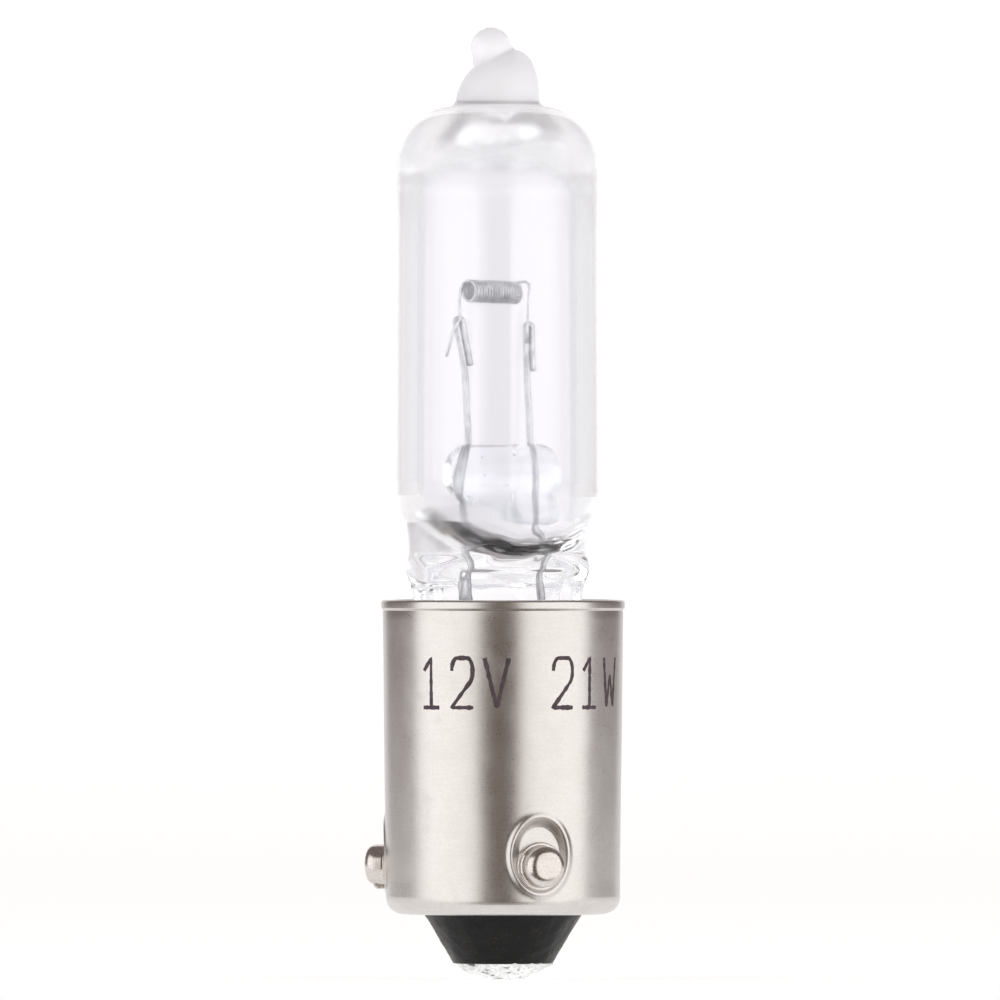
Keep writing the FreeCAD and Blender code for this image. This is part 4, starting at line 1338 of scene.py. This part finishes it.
@dataclass
class LampMount:
    """The turned mount inside the glass: bridge bead, two support wires and the coil between their hooks.

    left and right give each wire's places along the mount's own X: in the seal, in the bead, above the
    bead, at the knee and at the hook.
    """

    turn: float = math.radians(20.0)
    wire: float = 0.12
    bend: float = 0.6
    weld_top: float = 2.9
    foot: float = 1.8
    floor_height: float = 12.3
    jog: float = 0.9
    knee_height: float = 18.6
    hook_span: float = 0.25
    hook_return: float = 1.75
    left: tuple[float, float, float, float, float] = (-1.45, -1.6, -1.36, -1.5, -1.88)
    right: tuple[float, float, float, float, float] = (1.4, 1.2, 1.1, 0.963, 0.92)
    bead_place: float = 0.04
    bead_length: float = 4.5
    coil_wire: float = 0.053
    coil_radius: float = 0.38
    coil_turns: float = 18.25
    coil_length: float = 2.46
    coil_turn: float = math.radians(22.0)
    coil_tilt: float = math.radians(1.6)
    coil_gap: float = 0.01
    tail_reach: float = 0.24
    tail_fall: tuple[float, float, float] = (-0.28, 0.0, -1.05)
    light_centre: float = 21.6

    def __post_init__(self) -> None:
        """Read the bead's and the hooks' heights and where the wires' welds sit."""
        low, high = node_box("bridge_bead")
        self.bead_height, self.bead_radius = (low[2] + high[2]) / 2.0, (high[2] - low[2]) / 2.0
        sides = ("left", "right")
        self.crests = {side: node_box(f"support_wire_{side}")[1][2] - self.wire for side in sides}
        self.welds = {side: self.weld_place(side) for side in sides}

    def weld_place(self, side: str) -> float:
        """Where one wire's weld sits along the mount's own X.

        Args:
            side: left or right.

        Returns:
            The weld's place, in mm.
        """
        low, high = node_box(f"lead_weld_{side}")
        middle = (low + high) / 2.0
        return float(middle[0] * math.cos(self.turn) + middle[1] * math.sin(self.turn))

    def placed(self, points: Array) -> Array:
        """Points of the mount's own frame turned about the cap's axis.

        Args:
            points: Places in the mount's frame, last axis x, y, z.

        Returns:
            The same places in the row's frame.
        """
        c, s = math.cos(self.turn), math.sin(self.turn)
        x, y, z = points[..., 0], points[..., 1], points[..., 2]
        return np.stack([x * c - y * s, x * s + y * c, z], axis=-1)

    def support(self, side: str, kit: Kit) -> None:
        """Make one support wire: a round tube, pressed a little flat round its hook.

        Args:
            side: left or right.
            kit: The finishes.
        """
        seal, bead, above, knee, hook = self.left if side == "left" else self.right
        crest = self.crests[side]
        lean = (knee - hook) * self.hook_return / (crest - self.knee_height)
        half = self.hook_span / 2.0
        corners = [
            (self.welds[side], 0.0, self.weld_top),
            (self.welds[side], 0.0, self.weld_top + self.foot),
            (seal, 0.0, self.weld_top + 2.0 * self.foot), (seal, 0.0, self.floor_height),
            (bead, 0.0, self.floor_height + self.jog),
            (bead, 0.0, self.bead_height - 0.7), (above, 0.0, self.bead_height + self.bead_radius + 0.1),
            (knee, 0.0, self.knee_height),
            (hook, 0.0, crest), (hook + self.hook_span, 0.0, crest),
            (hook + self.hook_span + lean, 0.0, crest - self.hook_return)]
        bends = [0.0] + [self.bend] * 7 + [half - 0.02] * 2 + [0.0]
        path = rounded_line(corners, bends, 8)
        path = resampled(path, 0.12)
        flat = smoothstep(crest - 2.4, crest - 1.4, path[:, 2])
        wobble = 0.012 * ripple(path, 1.8, 51 if side == "left" else 52)
        path = path + np.stack([wobble, wobble * 0.6, wobble * 0.0], axis=1)
        high = self.wire * (1.0 - 0.12 * flat)
        wide = self.wire * (1.0 - 0.02 * flat)
        skin = tube(Skin(), self.placed(path), wide, high, 20)
        dress(skin.piece(f"support_{side}"), kit.wire, "support_wire", f"support_wire_{side}")

    def bead(self, kit: Kit) -> None:
        """Make the bead: a rod with round ends turned about the mount's own X, and a few bubbles in it.

        Args:
            kit: The finishes.
        """
        start = self.bead_place - self.bead_length / 2.0
        end = self.bead_place + self.bead_length / 2.0
        profile = resampled(rounded_line(
            [(0.04, start), (self.bead_radius, start), (self.bead_radius * 0.985, self.bead_place),
             (self.bead_radius, end), (0.04, end)], [0.0, 0.85, 3.0, 0.85, 0.0], 14), 0.12)

        def lying(across: Array, along: Array, height: Array) -> Array:
            """The profile's axis laid along the mount's X."""
            return self.placed(np.stack([height, across, along + self.bead_height], axis=-1))

        grid = turned_grid(profile, even_turn(96), lying)
        middle = self.placed(np.array([self.bead_place, 0.0, self.bead_height]))
        skin = Skin().grid(grid, start_pole=lying(*np.array([[0.0], [0.0], [start]]))[0],
                           end_pole=lying(*np.array([[0.0], [0.0], [end]]))[0])
        rng = np.random.default_rng(7)
        turn, rise = even_turn(10), np.linspace(-1.45, 1.45, 7)[:, None]
        ball = np.stack([np.cos(rise) * np.cos(turn), np.cos(rise) * np.sin(turn),
                         np.sin(rise) * np.ones_like(turn)], axis=-1)
        spots = rng.uniform([-1.9, -0.75, -0.75], [1.9, 0.75, 0.75], (9, 3))
        for spot, size in zip(spots, rng.uniform(0.025, 0.075, 9)):
            bubble = middle + self.placed(spot) + ball * size
            skin.grid(bubble, flip=True, start_pole=bubble[0].mean(axis=0),
                      end_pole=bubble[-1].mean(axis=0))
        dress(skin.piece("bead"), kit.bead, "bead_glass", "bridge_bead")

    def coil(self, kit: Kit) -> None:
        """Make the coil and its legs: centre + radius (cos t back + sin t over) + pitch t along.

        Args:
            kit: The finishes.
        """
        turn, tilt = self.coil_turn, self.coil_tilt
        level = math.cos(tilt)
        along = np.array([math.cos(turn) * level, math.sin(turn) * level, -math.sin(tilt)])
        back = np.array([-math.sin(turn), math.cos(turn), 0.0])
        over = np.cross(along, back)
        front = -(self.wire + self.coil_wire + self.coil_gap)
        left_x, right_x = self.left[4] + self.hook_span / 2.0, self.right[4]
        centre = np.array([(left_x + right_x) / 2.0, 0.0, self.light_centre])
        share = np.linspace(0.0, 1.0, int(self.coil_turns * 22))[:, None]
        angle = share * self.coil_turns * TAU
        curl = centre + along * self.coil_length * (share - 0.5) \
            + self.coil_radius * (np.cos(angle) * back + np.sin(angle) * over)
        into, out = unit(curl[1] - curl[0]), unit(curl[-1] - curl[-2])
        tail_top = np.array([left_x - self.tail_reach, front, self.crests["left"] - self.coil_radius])
        left = rounded_line(
            [tail_top + self.tail_fall, tail_top, (left_x, front, self.crests["left"]),
             curl[0] - into * 0.4, curl[0]], [0.0, 0.1, 0.1, 0.3, 0.0], 6)
        reach = (curl[-1, 1] - front) / -out[1]
        right = rounded_line(
            [curl[-1], curl[-1] + out * reach, (right_x, front, self.crests["right"]),
             (right_x, front, self.crests["right"] - 0.7)], [0.0, 0.3, 0.3, 0.0], 6)
        path = np.concatenate([left[:-1], curl, right[1:]])
        skin = tube(Skin(), self.placed(path), self.coil_wire, self.coil_wire, 10)
        dress(skin.piece("coil"), kit.coil, "tungsten", "filament_coil")

    def build(self, kit: Kit) -> None:
        """Make the wires, the bead and the coil.

        Args:
            kit: The finishes.
        """
        self.support("left", kit)
        self.support("right", kit)
        self.bead(kit)
        self.coil(kit)


class HiddenParts(Enum):
    CEMENT = ("base_cement", "cement")
    EYELET = ("contact_eyelet", "brass")
    LEFT_WELD = ("lead_weld_left", "weld")
    RIGHT_WELD = ("lead_weld_right", "weld")
    CONTACT_LEAD = ("contact_lead", "lead")
    SHELL_LEAD = ("shell_lead", "lead")
    SHELL_WELD = ("shell_weld", "weld")

    def dress(self, kit: Kit) -> None:
        """Put the finish on the node.

        Args:
            kit: The finishes.
        """
        node, finish = self.value
        mesh = frame["nodes"][node].data
        mesh.materials.clear()
        mesh.materials.append(getattr(kit, finish))
        LOG.info("%s: %s", node, finish)


# ---------------------------------------------------------------- studio


@dataclass
class SoftBox:
    """A large soft lamp that faces the bulb."""

    name: str
    bearing: float
    rise: float
    width: float
    height: float
    radiance: float
    distance: float = 0.55

    def build(self, target: Vector) -> None:
        """Hang the lamp.

        Args:
            target: What it faces, in metres.
        """
        turn, up = math.radians(self.bearing), math.radians(self.rise)
        way = Vector((math.sin(turn) * math.cos(up), -math.cos(turn) * math.cos(up), math.sin(up)))
        light = bpy.data.lights.new(self.name, "AREA")
        light.shape = "RECTANGLE"
        light.size, light.size_y = self.width, self.height
        light.energy = self.radiance * math.pi * self.width * self.height
        lamp = bpy.data.objects.new(self.name, light)
        lamp.location = target + way * self.distance
        lamp.rotation_euler = (-way).to_track_quat("-Z", "Y").to_euler()
        lamp.visible_camera = False
        bpy.context.scene.collection.objects.link(lamp)


@dataclass
class Studio:
    """Pale sweep, soft lamps, room light and the camera."""

    room_front: float = 0.115
    room_back: float = 0.21
    front_colour: tuple[float, float, float] = (1.0, 0.70, 0.55)
    back_colour: tuple[float, float, float] = (1.0, 0.84, 0.80)
    room_blend: tuple[float, float] = (-0.95, -0.1)
    white_cone: tuple[float, float] = (0.78, 0.96)
    camera_distance: float = 0.9
    camera_rise: float = 0.000135
    camera_shift: float = -0.000113
    lens: float = 859.3
    lamps: list[SoftBox] = field(default_factory=lambda: [
        SoftBox("left_softbox", -57.0, 6.0, 0.79, 0.75, 1.25),
        SoftBox("right_softbox", 52.5, 6.0, 0.84, 0.75, 1.25),
    ])

    def __post_init__(self) -> None:
        """Read the bulb's box."""
        low, high = CAD_BOX
        self.centre = (low + high) / 2.0
        self.floor = low[2] - 0.00002

    def sweep(self) -> None:
        """A floor that turns up into a backdrop: a level run, a quarter circle and an upright run."""
        line = rounded_line([(-8.0, 0.0), (420.0, 0.0), (420.0, 520.0)], [0.0, 130.0, 0.0], 16)
        line = resampled(line, 60.0)
        across = np.linspace(-150.0, 150.0, 9)
        grid = np.stack([np.broadcast_to(across, (len(line), 9)),
                         np.broadcast_to(line[:, :1], (len(line), 9)),
                         np.broadcast_to(line[:, 1:2] + self.floor / MM, (len(line), 9))], axis=-1)
        sweep = Skin().grid(grid, ring=False).piece("pale_sweep")
        sweep.data.materials.append(StudioWhite("pale_sweep").material())

    def world(self) -> None:
        """A warm grey room, dimmer in front.

        It is white where it is seen directly or through glass, and in metal straight behind the bulb.
        """
        world = bpy.data.worlds.new("room")
        bpy.context.scene.world = world
        r = Recipe(world)
        way = r.signal("ShaderNodeTexCoord", output="Generated")
        depth = r.signal("ShaderNodeSeparateXYZ", None, {0: way}, "Y")
        behind = depth.between(*self.room_blend)
        level = behind * (self.room_back - self.room_front) + self.room_front
        colour = r.blend(behind, self.front_colour, self.back_colour)
        tone = r.node("ShaderNodeBackground", None, {"Color": colour, "Strength": level})
        white = r.node("ShaderNodeBackground", None, {"Color": WHITE})
        direct, through, mirrored = r.ray_kinds()
        seen = direct.larger(through).larger(mirrored * depth.between(*self.white_cone))
        mixed = r.node("ShaderNodeMixShader", None, {0: seen, 1: tone.outputs[0], 2: white.outputs[0]})
        r.node("ShaderNodeOutputWorld", None, {"Surface": mixed.outputs[0]})

    def camera(self) -> None:
        """A long lens level with the bulb's middle, looking along +Y."""
        lens = bpy.data.cameras.new("camera")
        lens.lens = self.lens
        lens.sensor_width = 36.0
        lens.clip_start, lens.clip_end = 0.005, 5.0
        camera = bpy.data.objects.new("camera", lens)
        camera.location = (self.camera_shift, -self.camera_distance, self.centre[2] + self.camera_rise)
        camera.rotation_euler = (math.pi / 2.0, 0.0, 0.0)
        bpy.context.scene.collection.objects.link(camera)
        bpy.context.scene.camera = camera

    def build(self) -> None:
        """Set up the stage, the lamps and the camera."""
        scene = bpy.context.scene
        scene.view_settings.view_transform = "Standard"
        scene.cycles.max_bounces = 48
        scene.cycles.glossy_bounces = 48
        scene.cycles.transmission_bounces = 48
        scene.cycles.transparent_max_bounces = 24
        self.sweep()
        self.world()
        self.camera()
        for lamp in self.lamps:
            lamp.build(self.centre)


def main() -> None:
    """Build the bulb and its studio."""
    logging.basicConfig(level=logging.INFO, format="%(name)s %(message)s")
    Studio().build()
    kit = Kit()
    shell = CapShell()
    shell.build(kit)
    Pin("bayonet_pin_front", "pin_front").build(kit)
    Pin("bayonet_pin_side", "pin_side", burr=0.1).build(kit)
    Base().build(kit)
    Marking(shell).build(kit)
    Envelope().build(kit)
    LampMount().build(kit)
    for part in HiddenParts:
        part.dress(kit)


if __name__ == "__main__":
    main()
